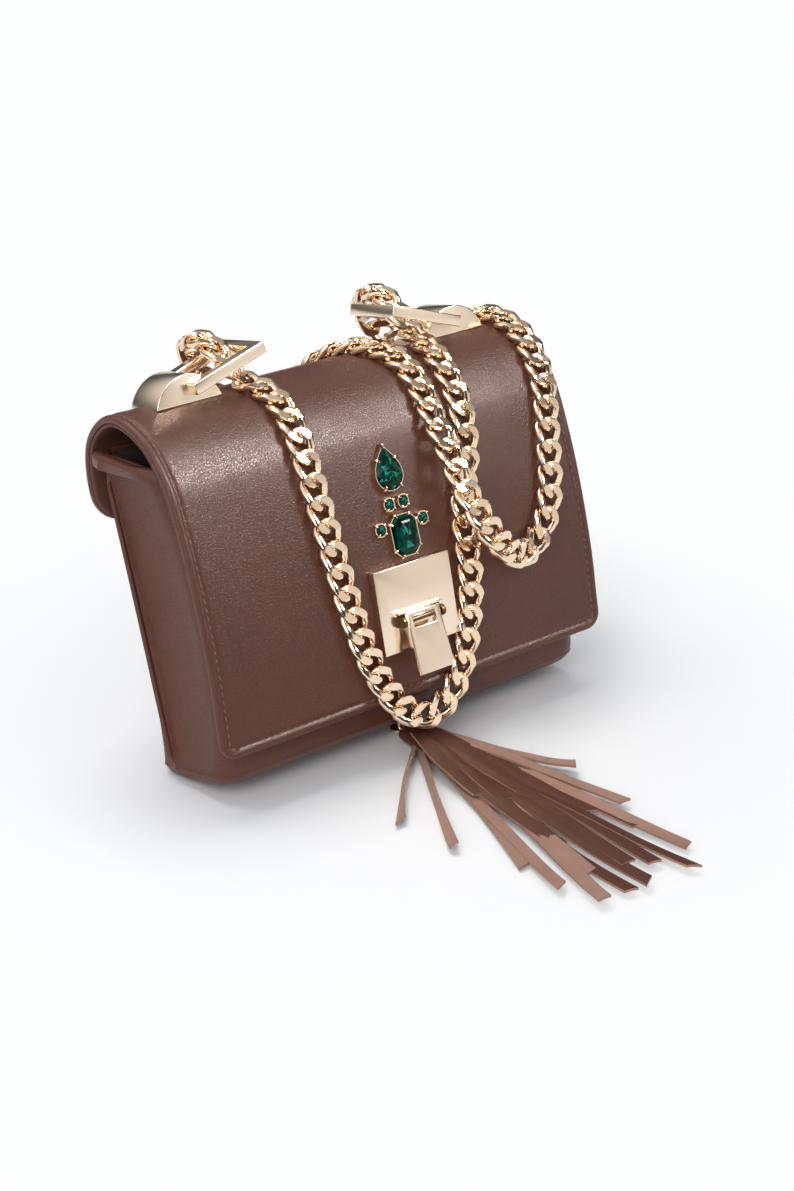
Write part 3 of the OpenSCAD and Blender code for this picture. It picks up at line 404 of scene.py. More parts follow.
def body_ring(rise, inset=0.0):
    """The body's outline at a height, given as the share of the way up to the sloping mouth.

    It comes as two runs of points, one round the front and one round the back, that meet at
    the side seams, each with its outward directions.
    """
    z_front, z_rear = rise * MOUTH_FRONT, rise * MOUTH_REAR
    z_mid = (z_front + z_rear) / 2
    half = HALF_WIDTH + FLARE * min(1, z_mid / FLARE_HEIGHT) ** 1.3 - inset
    if z_mid < TUCK:
        half -= TUCK - math.sqrt(TUCK ** 2 - (TUCK - z_mid) ** 2)
    y_front = np.interp(z_front, front_line[:, 1], front_line[:, 0]) + inset
    y_rear = np.interp(z_rear, rear_line[:, 1], rear_line[:, 0]) - inset
    y_seam = y_rear - (SEAM_LOW - SEAM_RISE * rise)
    r_front = min(FRONT_CORNER - inset, (y_rear - y_front) / 2.5)
    r_rear = REAR_CORNER - inset
    right = [(half, y_seam - d) for d in NEAR_SEAM]
    right += [(half, y_seam - d) for d in np.linspace(4.5, y_seam - y_front - r_front, 9)]
    right += [tuple(p) for p in arc((half - r_front, y_front + r_front), r_front, 0, -90, 12)[1:]]
    right += [(x, y_front) for x in np.linspace(half - r_front, 0, 26)[1:]]
    rear = [(half, y_seam + (y_rear - r_rear - y_seam) * share) for share in BACK_SIDE_SHARES]
    rear += [tuple(p) for p in arc((half - r_rear, y_rear - r_rear), r_rear, 0, 90, 10)[1:]]
    rear += [(x, y_rear) for x in np.linspace(half - r_rear, 0, 22)[1:]]
    full = math.sin(math.pi * held(rise) ** 0.9) ** 0.6
    runs = []
    for flat, sign in ((mirrored(right), -1), (mirrored(rear), 1)):
        x, y = flat.T
        normal = sign * (side_step(flat, 1.0) - flat)
        on_side = normal[:, 0] ** 2
        z = z_rear + (z_front - z_rear) * held((y_rear - y) / (y_rear - y_front))
        ahead = held((y - y_front) / (y_seam - y_front))
        behind = held((y - y_seam) / (y_rear - y_seam))
        puff = on_side * (GUSSET_PUFF * np.sin(np.pi * ahead) ** 0.7
                          + BACK_PUFF * np.sin(np.pi * behind) ** 0.7)
        puff += (1 - on_side) * FRONT_PUFF * (1 - (x / half) ** 2)
        puff += BACK_FILL * behind ** 0.6 * held((0.88 - rise) / 0.22)
        creases = CREASE * np.sin(z_mid / 6.5 + y / 5.0) * on_side * ahead * (1 - ahead) * 4
        creases *= min(1, z_mid / 20.0)
        seam = on_side * np.exp(-(y - y_seam) ** 2)
        seam *= held((z_mid - BASE_LIP - 1.0) / 5.0) * held((1 - rise) * 12)
        base = math.exp(-((z_mid - BASE_LIP) / 0.8) ** 2)
        grooves = SEAM_GROOVE * seam + BASE_GROOVE * base if inset == 0 else 0
        flat = flat + normal * (puff * full + creases - grooves)[:, None]
        runs.append((np.column_stack([flat, z]), np.column_stack([normal, 0 * z])))
    return runs


def tub(rises, bottom_shares, inset=0.0):
    """A tub of body outlines that go down to a flat bottom."""
    loops = []
    for v in rises:
        (front, _), (back, _) = body_ring(v, inset)
        loops.append(np.vstack([front, back[::-1][1:-1]]))
    rim, middle = loops[-1], loops[-1].mean(0)
    loops += [middle + (rim - middle) * [share, share, 1] for share in bottom_shares]
    points, faces = swept(loops, open_start=True)
    return stood(points), faces


lip_rise = BASE_LIP / MOUTH_REAR
up = np.concatenate([lip_rise + NEAR_SEAM / MOUTH_REAR,
                     np.linspace(lip_rise + 4.5 / MOUTH_REAR, 1, 60)])
rings = [body_ring(v) for v in up]
for part, name, node in ((0, "front_leather", "front_panel"), (1, "back_leather", "back_panel")):
    points = np.vstack([stood(ring[part][0]) for ring in rings])
    piece = add_piece(name, (points, grid_faces(len(up), len(rings[0][part][0]))), brown_calf)
    apply_modifier(piece, "SOLIDIFY", thickness=PANEL_T * MM, offset=-1)
    hang(piece, "body", "body_leather", node)

down = np.concatenate([lip_rise - NEAR_SEAM[:4] / MOUTH_REAR,
                       np.array([2.8, 2.0, 1.3, 0.7, 0.3, 0.08, 0.0]) / MOUTH_REAR])
base = add_piece("base_leather", tub(down, (0.97, 0.9, 0.75, 0.5, 0.2)), brown_calf)
apply_modifier(base, "SOLIDIFY", thickness=PANEL_T * MM, offset=-1)
for v in base.data.vertices:
    v.co.z = max(v.co.z, 0.0)
hang(base, "body", "body_leather", "base_panel")

# Lining
# A sack of dark twill inside the body, open at the mouth and sewn to its binding. The board
# and the magnet lie hidden between it and the leather.
LINING_T, LINING_IN = 0.8, 4.3


def diagonal_weave(name, dark, light, scale, rough, uneven=0.0, bump=0.0):
    """Fine diagonal strands, as of twill or of twisted thread."""
    material, tree, shader = new_material(name)
    waves = add_node(tree, "TexWave", {
        "Vector": add_node(tree, "TexCoord", output="Object"), "Scale": scale,
        "Distortion": uneven}, "Fac", bands_direction="DIAGONAL")
    feed(tree, shader, {"Base Color": two_tone(tree, waves, dark, light), "Roughness": rough})
    if bump:
        feed(tree, shader, {"Normal": relief(tree, waves, bump)})
    return material


dark_twill = diagonal_weave("dark_twill", (0.022, 0.012, 0.010), (0.05, 0.028, 0.022), 420,
                            rough=0.85, uneven=0.6, bump=0.1)
sack = add_piece("lining_sack", tub(np.linspace(0.99, 0.045, 26), (0.9, 0.6, 0.25), LINING_IN),
                 dark_twill, flip=True)
apply_modifier(sack, "SOLIDIFY", thickness=LINING_T * MM, offset=-1)
hang(sack, "body", "lining_cloth", "lining", "body_board", "body_magnet")

# Mouth binding
# A strip of the same calf folded over the raw edges of front, gussets and lining, and sewn
# through near its lower edge.
# The strip's section: outward from the mouth's edge, and up.
BINDING = [(-0.2, -5.1), (0.35, -5.2), (0.62, -4.7), (0.55, -4.0), (0.66, -2.6), (0.62, -1.2),
           (0.35, -0.2), (-0.6, 0.45), (-2.0, 0.65), (-3.4, 0.4), (-4.4, -0.3), (-4.75, -1.4),
           (-4.7, -3.0), (-4.75, -4.6), (-4.4, -5.1), (-4.0, -4.9)]


def mouth_path(part):
    """The mouth's edge with its outward and upward directions."""
    (edge, outward), (below, _) = body_ring(1.0)[part], body_ring(0.94)[part]
    return edge, outward, unit(edge - below)


for part, name, nodes in ((0, "mouth_binding_front", ("mouth_binding",)),
                          (1, "mouth_binding_back", ())):
    sections = [stood([e + n * o + r * h for o, h in BINDING])
                for e, n, r in zip(*mouth_path(part))]
    hang(add_piece(name, swept(sections), brown_calf, smooth=50), "body", "body_leather", *nodes)

# Flap
# Two layers of calf over a stiffener, folded over the top from the back panel to the front.
# The edge is turned and sewn all round, some four millimetres in.


def lengths(line):
    """How far along its line each point is."""
    return np.concatenate([[0], np.cumsum(np.linalg.norm(np.diff(line, axis=0), axis=1))])


def at_length(s, run, line):
    """The point of a line at a length."""
    return np.array([np.interp(s, run, column) for column in np.asarray(line).T])


FLAP_W, FLAP_T, FLAP_DROP, FLAP_CORNER, TAIL_CORNER = 200.0, 4.5, 15.0, 7.0, 12.0
SEW_IN, SEW_GROOVE, RIM_IN = 3.8, 0.62, 1.8
FOLD_WAY, FOLD_BEFORE, FOLD_AFTER = np.array([0, 0.9, -0.43]), 2.0, 5.0
# Outlines in shares of the body's depth and height, from the flap's lower edge over the crest
# to its fold, and from there down the back.
flap_shares = [(-1.058, 0.22), (-1.07, 0.33), (-1.052, 0.48), (-1.018, 0.62), (-0.97, 0.74),
               (-0.895, 0.876), (-0.833, 0.928), (-0.745, 0.982), (-0.645, 1.022),
               (-0.527, 1.048), (-0.394, 1.069), (-0.27, 1.073), (-0.16, 1.06), (-0.04, 1.031),
               (0.035, 0.998), (0.072, 0.96), (0.09, 0.912)]
tail_shares = [(0.09, 0.912), (0.088, 0.88), (0.07, 0.83), (0.052, 0.775)]
flap_in = chaikin(chaikin(np.vstack([[(flap_shares[0][0] * BODY_D, FLAP_DROP)],
                                     np.array(flap_shares) * in_body])))
tail_in = chaikin(chaikin(np.array(tail_shares) * in_body))
flap_out, tail_out = side_step(flap_in, FLAP_T), side_step(tail_in, FLAP_T)
sheet_in = np.vstack([flap_in, tail_in[1:]])
sheet_run = lengths(sheet_in)
sheet_len = sheet_run[-1]
sheet_normal = side_step(sheet_in, 1.0) - sheet_in


def on_sheet(x, s, height):
    """A point of the flap: across, along from its front edge, and out from its inner face."""
    y, z = at_length(s, sheet_run, sheet_in)
    ny, nz = at_length(s, sheet_run, sheet_normal)
    size = np.hypot(ny, nz)
    return np.stack([x, y + ny / size * height, z + nz / size * height], -1)


CORNER_ROWS, ROWS = 7, 104
from_edge = np.concatenate([[0, 0.7, 1.4, 2.1, 2.7, 3.3, 4.1, 5.5, 7.5, 10.5, 14.0],
                            np.linspace(18, FLAP_W / 2 - RIM_IN, 27)])
across_share = 1 - from_edge / (FLAP_W / 2 - RIM_IN)
across_share = np.concatenate([-across_share, across_share[::-1][1:]])


def sheet_outline(inset):
    """The flap's grid of (across, along), its outline in from the edge by inset."""
    half, r, tail_r = FLAP_W / 2, FLAP_CORNER, TAIL_CORNER
    turn = np.radians(np.linspace(0, 90, CORNER_ROWS + 1))
    rows = [(half - r + (r - inset) * math.sin(a), r - (r - inset) * math.cos(a)) for a in turn]
    rows += [(half - inset, r + (sheet_len - r - tail_r) * v)
             for v in np.linspace(0, 1, ROWS)[1:-1]]
    rows += [(half - tail_r + (tail_r - inset) * math.sin(a),
              sheet_len - tail_r + (tail_r - inset) * math.cos(a)) for a in turn[::-1]]
    return (np.array([w * across_share for w, _ in rows]),
            np.array([np.full(len(across_share), s) for _, s in rows]))


def edge_distance(x, s):
    """Distance in from the flap's outline."""
    r, dx, ds = FLAP_CORNER, FLAP_W / 2 - np.abs(x), np.minimum(s, sheet_len - s)
    return np.where((dx < r) & (ds < r),
                    r - np.hypot(r - np.minimum(dx, r), r - np.minimum(ds, r)),
                    np.minimum(dx, ds))


def sheet_solid(name, rim, relief_of, material):
    """A closed sheet from a rim profile of (inset, height) from its top to its underside."""
    grid = np.arange(sheet_outline(0)[0].size).reshape(sheet_outline(0)[0].shape)
    border = np.concatenate([grid[0], grid[1:, -1], grid[-1, -2::-1], grid[-2:0:-1, 0]])
    points, faces, edges = [], [], []
    for k, (inset, height) in enumerate(rim):
        x, s = (values.ravel() for values in sheet_outline(inset))
        start = len(points)
        if k in (0, len(rim) - 1):
            faces += [[start + i for i in f] for f in grid_faces(*grid.shape)]
            edges.append(start + border)
        else:
            x, s = x[border], s[border]
            edges.append(start + np.arange(len(border)))
        points += list(on_sheet(x, s, height + (relief_of(x, s) if k == 0 else 0)))
    for a, b in zip(edges, edges[1:]):
        faces += np.stack([a, np.roll(a, -1), np.roll(b, -1), b], 1).tolist()
    return add_piece(name, (stood(points), faces), material, smooth=60)


def sewn_relief(x, s):
    """The sewn edge: a groove at the stitches, a soft roll outside it, and slow waves."""
    d = edge_distance(x, s)
    groove = -SEW_GROOVE * np.exp(-((d - SEW_IN) / 0.7) ** 2)
    roll = 0.10 * np.exp(-((d - 2.2) / 1.0) ** 2) + 0.14 * np.exp(-((d - 6.4) / 2.2) ** 2)
    slow = 0.12 * np.sin(x / 17.0 + 1.3) * np.sin(s / 23.0) + 0.08 * np.sin(x / 7.0 + s / 31.0)
    return groove + roll + slow * held((d - 8) / 20)


flap_rim = [(RIM_IN, FLAP_T), (1.1, 4.46), (0.5, 4.2), (0.12, 3.7), (0.0, 3.0), (0.02, 2.3),
            (0.25, 1.75), (0.8, 1.62), (RIM_IN, 1.6)]
lining_rim = [(2.2, 1.65), (1.2, 1.6), (0.75, 1.5), (0.45, 1.1), (0.42, 0.7), (0.6, 0.2),
              (1.1, 0.03), (2.2, 0.0)]
fold = np.array([0, *flap_out[-1]])
hinge_from, hinge_to = stood(fold + FOLD_BEFORE * FOLD_WAY), stood(fold - FOLD_AFTER * FOLD_WAY)
for piece, nodes in (
        (sheet_solid("flap_leather", flap_rim, sewn_relief, brown_calf),
         ("flap_outer", "flap_board", "flap_back", "flap_magnet")),
        (sheet_solid("flap_inner_leather", lining_rim, lambda x, s: 0 * x, inner_calf),
         ("flap_lining",))):
    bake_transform(piece)
    hang(piece, None, "body_leather", *nodes)

# Stitching
# Waxed brown thread in slanted stitches: a little lighter than the leather along the flap's
# edge and the mouth binding, and dark and sunk in down the side seams.
STITCH_PITCH, STITCH_LENGTH, STITCH_WIDTH, STITCH_FLATTEN = 3.3, 2.5, 0.62, 0.8
STITCHES_END, BINDING_FACE, BINDING_SEW_IN = 6.0, 0.68, 3.6
SEAM_ROWS = slice(6, -4)
dark_thread = diagonal_weave("dark_thread", (0.030, 0.013, 0.009), (0.07, 0.032, 0.022), 1500,
                             rough=0.5)
waxed_thread = diagonal_weave("waxed_thread", (0.14, 0.072, 0.05), (0.31, 0.18, 0.13), 1500,
                              rough=0.5)
bpy.ops.object.select_all(action="DESELECT")
bpy.ops.mesh.primitive_uv_sphere_add(segments=8, ring_count=6, radius=1.0)
seed = bpy.context.object
stitch_points = np.array([v.co for v in seed.data.vertices]) * [
    STITCH_WIDTH / 2, STITCH_WIDTH / 2 * STITCH_FLATTEN, STITCH_LENGTH / 2]
stitch_faces = [list(p.vertices) for p in seed.data.polygons]
bpy.data.objects.remove(seed)


def joined(shapes):
    """One list of points and one of faces from several shapes."""
    points, faces = [], []
    for shape_points, shape_faces in shapes:
        start = len(points)
        points += list(shape_points)
        faces += [[start + i for i in f] for f in shape_faces]
    return points, faces


def sewn_line(name, line, outward, body, slant=14, sink=0.05, of_thread=waxed_thread):
    """Stitches along a line on a surface, as one mesh."""
    run, turn, stitches = lengths(line), math.radians(slant), []
    for k in range(int(run[-1] / STITCH_PITCH)):
        s = (k + 0.5) * STITCH_PITCH
        a, b = at_length(s - 0.5, run, line), at_length(s + 0.5, run, line)
        up, along = at_length(s, run, outward), unit(b - a)
        up = unit(up - along * (up @ along))
        cross = np.cross(up, along)
        along, cross = (along * math.cos(turn) + cross * math.sin(turn),
                        cross * math.cos(turn) - along * math.sin(turn))
        points = (a + b) / 2 + up * sink + stitch_points @ np.array([cross, up, along])
        stitches.append((stood(points), stitch_faces))
    hang(add_piece(name, joined(stitches), of_thread, smooth=80), body, "edge_leather")


edge_x, edge_s = sheet_outline(SEW_IN)
around = list(zip(edge_x[::-1, 0], edge_s[::-1, 0])) + list(zip(edge_x[0], edge_s[0]))[1:-1]
around += list(zip(edge_x[:, -1], edge_s[:, -1]))
hinge_s = sheet_run[len(flap_in) - 1]
xs, ss = np.array([p for p in around if p[1] < hinge_s - STITCHES_END]).T
line = on_sheet(xs, ss, FLAP_T - 0.6)
sewn_line("flap_stitches", line, on_sheet(xs, ss, FLAP_T + 0.4) - line, "flap")
edge, outward, rise = mouth_path(0)
sewn_line("binding_stitches", edge + outward * BINDING_FACE - rise * BINDING_SEW_IN,
          outward, "body")
for k, side in ((0, "right"), (-1, "left")):
    seam, outward = (np.array([ring[0][i][k] for ring in rings[SEAM_ROWS]]) for i in (0, 1))
    sewn_line("side_seam_" + side, seam, outward, "body", slant=20, sink=1.2,
              of_thread=dark_thread)

# Chain
# A curb chain of pale gold brass: each link is an oval of round wire, twisted so that the
# strap lies flat, then ground on both faces. It is one loop that passes through both rings.
LINK_PITCH, LINK_WIRE, LINK_W, LINK_TURN = 9.3, 2.7, 11.4, 38.0
STRAP_REACH, STRAP_GAP, PRESSED_IN = 100.0, 0.65, 0.35
LINK_ROUND, WIRE_ROUND = 36, 14
VISUAL_WIRE, VISUAL_W, TWIST, GRIND = 3.35, 12.2, -48.0, 2.35
# The strap's route: across as a share of its reach, along the flap, and lifted off it as a
# share of the strap's thickness.
strap_route_shares = [
    (-0.44, 0.85, 2.4), (-0.44, 0.815, 1.5), (-0.43, 0.788, 0.02), (-0.395, 0.75, -0.03),
    (-0.365, 0.70, 0), (-0.365, 0.64, 0), (-0.37, 0.58, 0), (-0.375, 0.52, 0), (-0.37, 0.45, 0),
    (-0.36, 0.38, 0), (-0.35, 0.31, 0), (-0.33, 0.24, 0), (-0.31, 0.17, 0), (-0.26, 0.09, 0),
    (-0.185, 0.01, 0), (-0.075, -0.05, 0), (0.05, -0.05, 0), (0.16, 0, 0), (0.23, 0.07, 0),
    (0.27, 0.15, 0), (0.3, 0.22, 0), (0.305, 0.28, 0), (0.315, 0.35, 0), (0.355, 0.415, 0),
    (0.41, 0.47, 0), (0.43, 0.525, 0), (0.445, 0.58, 0), (0.455, 0.64, 0), (0.465, 0.70, 0),
    (0.465, 0.75, -0.03), (0.46, 0.788, 0.25), (0.455, 0.812, 1.7), (0.465, 0.845, 2.5),
    (0.52, 0.885, 2.15), (0.6, 0.917, 1.45), (0.685, 0.923, 0.9), (0.77, 0.908, 0.5),
    (0.84, 0.87, 0.15), (0.885, 0.84, 0), (0.915, 0.79, 0), (0.93, 0.73, 0), (0.93, 0.67, 0),
    (0.915, 0.61, 0), (0.9, 0.56, 0), (0.87, 0.505, 0), (0.84, 0.44, 0), (0.81, 0.365, 0),
    (0.77, 0.295, 0), (0.67, 0.235, 0.02), (0.53, 0.22, 0.4), (0.4, 0.265, 1.05),
    (0.31, 0.335, 1.25), (0.26, 0.405, 1.1), (0.265, 0.475, 0.6), (0.28, 0.54, 0.12),
    (0.29, 0.60, 0), (0.295, 0.66, 0), (0.28, 0.72, 0), (0.24, 0.77, 0), (0.19, 0.81, 0),
    (0.135, 0.85, 0), (0.09, 0.9, 0), (0.05, 0.945, 0), (-0.03, 0.985, 0), (-0.15, 0.99, 0.02),
    (-0.25, 0.955, 0.2), (-0.315, 0.928, 1.05), (-0.37, 0.896, 1.95)]


def metal(name, tone, rough):
    """Plated metal with a faint uneven polish."""
    material, tree, shader = new_material(name)
    polish = add_node(tree, "MapRange", {
        "Value": noise(tree, 220, 4), "From Min": 0.3, "From Max": 0.7,
        "To Min": rough * 0.93, "To Max": rough * 1.07})
    feed(tree, shader, {"Base Color": (*tone, 1), "Metallic": 1.0, "Roughness": polish})
    return material


pale_gold = metal("pale_gold", (0.93, 0.72, 0.52), 0.12)


def close_cut(points):
    """Corner cutting of a closed line."""
    p = np.asarray(points, float)
    after = np.roll(p, -1, axis=0)
    return np.stack([p * 0.75 + after * 0.25, p * 0.25 + after * 0.75], 1).reshape(-1, 3)


strap_half = (LINK_W - LINK_WIRE) / 2 * math.sin(math.radians(LINK_TURN)) + LINK_WIRE / 2
below = BODY_H * 0.2
lay_line = np.vstack([flap_out[0] + unit(flap_out[0] - flap_out[1]) * below, flap_out,
                      tail_out[1:]])
lay_s = lengths(lay_line) - below
station = lay_s / lay_s[len(flap_out)]
lay_side = side_step(lay_line, 1.0) - lay_line


def lay_out(u):
    """Direction away from the flap at a station of its line."""
    return unit(np.array([0, *at_length(u, station, lay_side)]))


def laid(q):
    """A point of the strap's route."""
    at = np.array([q[0] * STRAP_REACH, *at_length(q[1], station, lay_line)])
    return at + lay_out(q[1]) * (strap_half + STRAP_GAP + q[2] * 2 * strap_half)


strap_places = close_cut(close_cut(strap_route_shares))
strap_places = np.vstack([strap_places, strap_places[:1]])
strap_loop = np.array([laid(q) for q in strap_places])
strap_s = lengths(strap_loop)
strap_len = strap_s[-1]
link_count = 2 * round(strap_len / LINK_PITCH / 2)
link_step = strap_len / link_count


def strap_place(s):
    """The station and the lift of the strap at a length of the loop."""
    return at_length(s, strap_s, strap_places)[1:]


def link_shape():
    """One twisted link, lengthwise on X and flat on Z, ground on both faces."""
    reach, half = (link_step + VISUAL_WIRE) / 2 + 0.1, (VISUAL_W - VISUAL_WIRE) / 2
    a = 2 * np.pi * np.arange(LINK_ROUND) / LINK_ROUND
    b = 2 * np.pi * np.arange(WIRE_ROUND)[None, :, None] / WIRE_ROUND
    x = half * np.cos(a) + (reach - half) * np.sign(np.round(np.cos(a), 9))
    turn = math.radians(TWIST) * x / reach
    centres = np.stack([x, half * np.sin(a) * np.cos(turn), half * np.sin(a) * np.sin(turn)], 1)
    t = unit(np.roll(centres, -1, axis=0) - np.roll(centres, 1, axis=0))
    side = unit(np.cross(t, (0, 0, 1)))
    lift = np.cross(side, t)
    wire = side[:, None] * np.cos(b) + lift[:, None] * np.sin(b)
    points = (centres[:, None] + wire * VISUAL_WIRE / 2).reshape(-1, 3)
    points[:, 2] = np.clip(points[:, 2], -GRIND, GRIND)
    faces = np.array(grid_faces(LINK_ROUND + 1, WIRE_ROUND, closed=True)) % len(points)
    return points, faces.tolist()


link_points, link_faces = link_shape()
sink_to_leather = strap_half + STRAP_GAP - GRIND - PRESSED_IN


def strap_at(s):
    """A point of the loop by its length."""
    u, lift = strap_place(s % strap_len)
    down = sink_to_leather * max(0.0, 1 - max(0, lift) / 0.5)
    return at_length(s % strap_len, strap_s, strap_loop) - lay_out(u) * down


def link_at(k):
    """The points of link k of the loop."""
    a, b = strap_at(k * link_step), strap_at((k + 1) * link_step)
    u = unit(b - a)
    v = unit(np.cross(lay_out(strap_place((k + 0.5) * link_step)[0]), u))
    return (a + b) / 2 + link_points @ np.array([u, v, np.cross(u, v)])


def links_piece(name, ks, node, body=None):
    """One mesh of the links ks of the loop, in place of a frame node."""
    shape = joined((stood(link_at(k)), link_faces) for k in ks)
    piece = add_piece(name, shape, pale_gold, smooth=28)
    hang(piece, body, "pale_gold", node)
    return piece


stretch_ends = [round(share * link_count)
                for share in (0, 0.045, 0.18, 0.255, 0.425, 0.525, 0.715, 0.885, 0.965, 1)]
stretches = [list(range(a, b)) for a, b in zip(stretch_ends[:-1], stretch_ends[1:])]
for node, ks in (("chain_front_left", stretches[1]), ("chain_low_loop", stretches[2]),
                 ("chain_front_right", stretches[3]), ("chain_side_loop", stretches[5]),
                 ("chain_cross", stretches[6]), ("chain_back", stretches[7])):
    links_piece(node + "_links", ks, node, "flap")

# The two runs of links that meet on each ring's bar are pieces of their own.
crest = stretches[4]
lifts = [strap_place((k + 0.5) * link_step)[1] for k in crest]
on_bar = lifts.index(max(lifts)) + 1
for node, end, ring, ks, bar_last in (
        ("chain_left_crest", "front", "left_ring", stretches[0], False),
        ("chain_left_crest", "rear", "left_ring", stretches[8], True),
        ("chain_right_crest", "front", "right_ring", crest[:on_bar], True),
        ("chain_right_crest", "rear", "right_ring", crest[on_bar:], False)):
    piece = links_piece(node + "_" + end, ks, node)
    far, near = (tuple(stood(strap_at(k * link_step))) for k in (
        (ks[0], ks[-1] + 1) if bar_last else (ks[-1] + 1, ks[0])))
    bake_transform(piece)

# Metal fittings
# Cast, turned and plated pieces. The lock's plate, knuckle and pin, the rings' pins and the
# tassel's eye and post keep the frame's shapes, with their edges eased as polishing does.
brushed_gold = metal("brushed_gold", (0.93, 0.76, 0.595), 0.2)
# The knuckle and the pin sit in the plate's recess behind the lever: their near-black brass is
# painted shade of that recess, not wear.
shaded_brass = metal("shaded_brass", (0.12, 0.078, 0.045), 0.40)


def bevelled(o, width, segments=3, angle=40):
    """Eases the sharp edges, the width in millimetres."""
    apply_modifier(o, "BEVEL", width=width * MM, segments=segments, limit_method="ANGLE",
                   angle_limit=math.radians(angle))


def edit_all(o):
    """Opens a piece in edit mode with all of it selected."""
    only(o)
    bpy.ops.object.mode_set(mode="EDIT")
    bpy.ops.mesh.select_all(action="SELECT")


for node, material, slot, width, segments in (
        ("lock_plate", brushed_gold, "plate_metal", 0.25, 3),
        ("ring_left_pin", pale_gold, "pale_gold", 0.12, 2),
        ("ring_right_pin", pale_gold, "pale_gold", 0.12, 2),
        ("tassel_eye", pale_gold, "pale_gold", 0.12, 2),
        ("tassel_post", pale_gold, "pale_gold", 0.12, 2),
        ("lock_knuckle", shaded_brass, "pale_gold", 0.12, 2),
        ("lock_pin", shaded_brass, "pale_gold", 0.12, 2)):
    source = frame["nodes"][node]
    copy = bpy.data.objects.new(node + "_metal", source.data.copy())
    bpy.context.scene.collection.objects.link(copy)
    copy.data.materials.clear()
    copy.data.materials.append(material)
    edit_all(copy)
    bpy.ops.mesh.remove_doubles(threshold=1e-6)
    bpy.ops.mesh.dissolve_limited(angle_limit=math.radians(1.0))
    bpy.ops.object.mode_set(mode="OBJECT")
    bevelled(copy, width, segments, angle=30)
    only(copy)
    bpy.ops.object.shade_smooth_by_angle(angle=math.radians(32))
    hang(copy, source["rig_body"], slot, node)
for node in ("lock_backing", "lock_rivets", "stone_rivets", "arch_backings", "arch_screws"):
    frame["nodes"][node].data.materials.clear()
    frame["nodes"][node].data.materials.append(pale_gold)


def applied(name):
    """Names the primitive just added and applies its place."""
    bpy.ops.object.transform_apply(location=True, rotation=True, scale=True)
    o = bpy.context.object
    o.name = o.data.name = name
    return o


def block(name, low, high):
    """A box between two corners in millimetres, ready to be shaped."""
    bpy.ops.object.select_all(action="DESELECT")
    low, high = Vector(low) * MM, Vector(high) * MM
    bpy.ops.mesh.primitive_cube_add(size=1, location=(low + high) / 2, scale=high - low)
    return applied(name)


def settle(o, place, body, *nodes):
    """Carries a piece modelled about its own origin, in metres, to its place on the bag."""
    at = np.array([v.co for v in o.data.vertices]) / MM
    for v, p in zip(o.data.vertices, place(at)):
        v.co = p
    o.data.materials.clear()
    o.data.materials.append(brushed_gold)
    close_mesh(o, smooth=32)
    hang(o, body, "plate_metal", *nodes)


flap_front = flap_out[flap_out[:, 0] < -0.3 * BODY_D]


def front_y(z):
    """Depth of the flap's outer face at a height."""
    return np.interp(z, flap_front[:, 1], flap_front[:, 0])


def on_face(x, z, reach):
    """A placing on the flap's front: x across, y into the bag, z up along the face."""
    lean = math.atan2(front_y(z + reach) - front_y(z - reach), 2 * reach)
    return lambda p: stood(leaned(p, lean) + [x, front_y(z), z])


# Lock lever
# A heavy brushed plate that hangs from the pin in the plate's recess, with a window near its
# top that shows the flat tongue behind it, and a thin cover strip over the hinge.
LOCK_Z, LOCK_H, LOCK_T, SLOT_H = 35.0, 34.0, 3.2, 15.5
LEVER_W, LEVER_H, LEVER_T, LEVER_TOP, LEVER_TILT = 17.8, 25.4, 2.6, 3.1, math.radians(10.0)
WINDOW_W, WINDOW_LOW, WINDOW_HIGH = 11.3, -3.4, 1.5
TONGUE_PLAY, TONGUE_T, TONGUE_LOW, TONGUE_HIGH = 0.05, 1.5, -1.75, 1.55
COVER_W, COVER_T, COVER_OVER = 23.2, 0.6, 0.5
AXIS_OUT = LOCK_T + LEVER_T * 0.7
AXIS_Z = SLOT_H - LOCK_H / 2 - LEVER_TOP - 0.6
COVER_Z = AXIS_Z + LEVER_TOP + 0.35
on_lock = on_face(0, LOCK_Z + LOCK_H / 2, LOCK_H / 2)


def on_lever(p):
    """A placing about the lever's pin, at the lever's tilt."""
    return on_lock(leaned(p, LEVER_TILT) + [0, -AXIS_OUT, AXIS_Z])


lever = block("lever_plate", (-LEVER_W / 2, -LEVER_T / 2, LEVER_TOP - LEVER_H),
              (LEVER_W / 2, LEVER_T / 2, LEVER_TOP))
window = block("window", (-WINDOW_W / 2, -LEVER_T, WINDOW_LOW),
               (WINDOW_W / 2, LEVER_T, WINDOW_HIGH))
apply_modifier(lever, "BOOLEAN", operation="DIFFERENCE", object=window, solver="EXACT")
bpy.data.objects.remove(window)
bevelled(lever, 0.28)
settle(lever, on_lever, "lock_lever", "lock_lever")
tongue = block("lever_tongue", (TONGUE_PLAY - WINDOW_W / 2, -TONGUE_T / 2, TONGUE_LOW),
               (WINDOW_W / 2 - TONGUE_PLAY, TONGUE_T / 2, TONGUE_HIGH))
bevelled(tongue, 0.2, segments=2)
settle(tongue, on_lever, "lock_lever")
cover = block("hinge_cover", (-COVER_W / 2, -AXIS_OUT - COVER_OVER, COVER_Z),
              (COVER_W / 2, -LOCK_T - 0.05, COVER_Z + COVER_T))
bevelled(cover, 0.2)
settle(cover, on_lock, "flap")

# Arches
# Half-moon bridges of cast and polished brass, screwed to the crest from inside the flap.
# Each one carries a ring's pin.
ARCH_X, ARCH_W, ARCH_D, ARCH_H, ARCH_Y, ARCH_Z = 68.0, 30.0, 18.0, 10.0, -14.7, 148.07
ARCH_BELOW, ARCH_EDGE = 1.5, 0.4
ARCH_RADIUS = (ARCH_W ** 2 / 4 + ARCH_H ** 2) / (2 * ARCH_H)


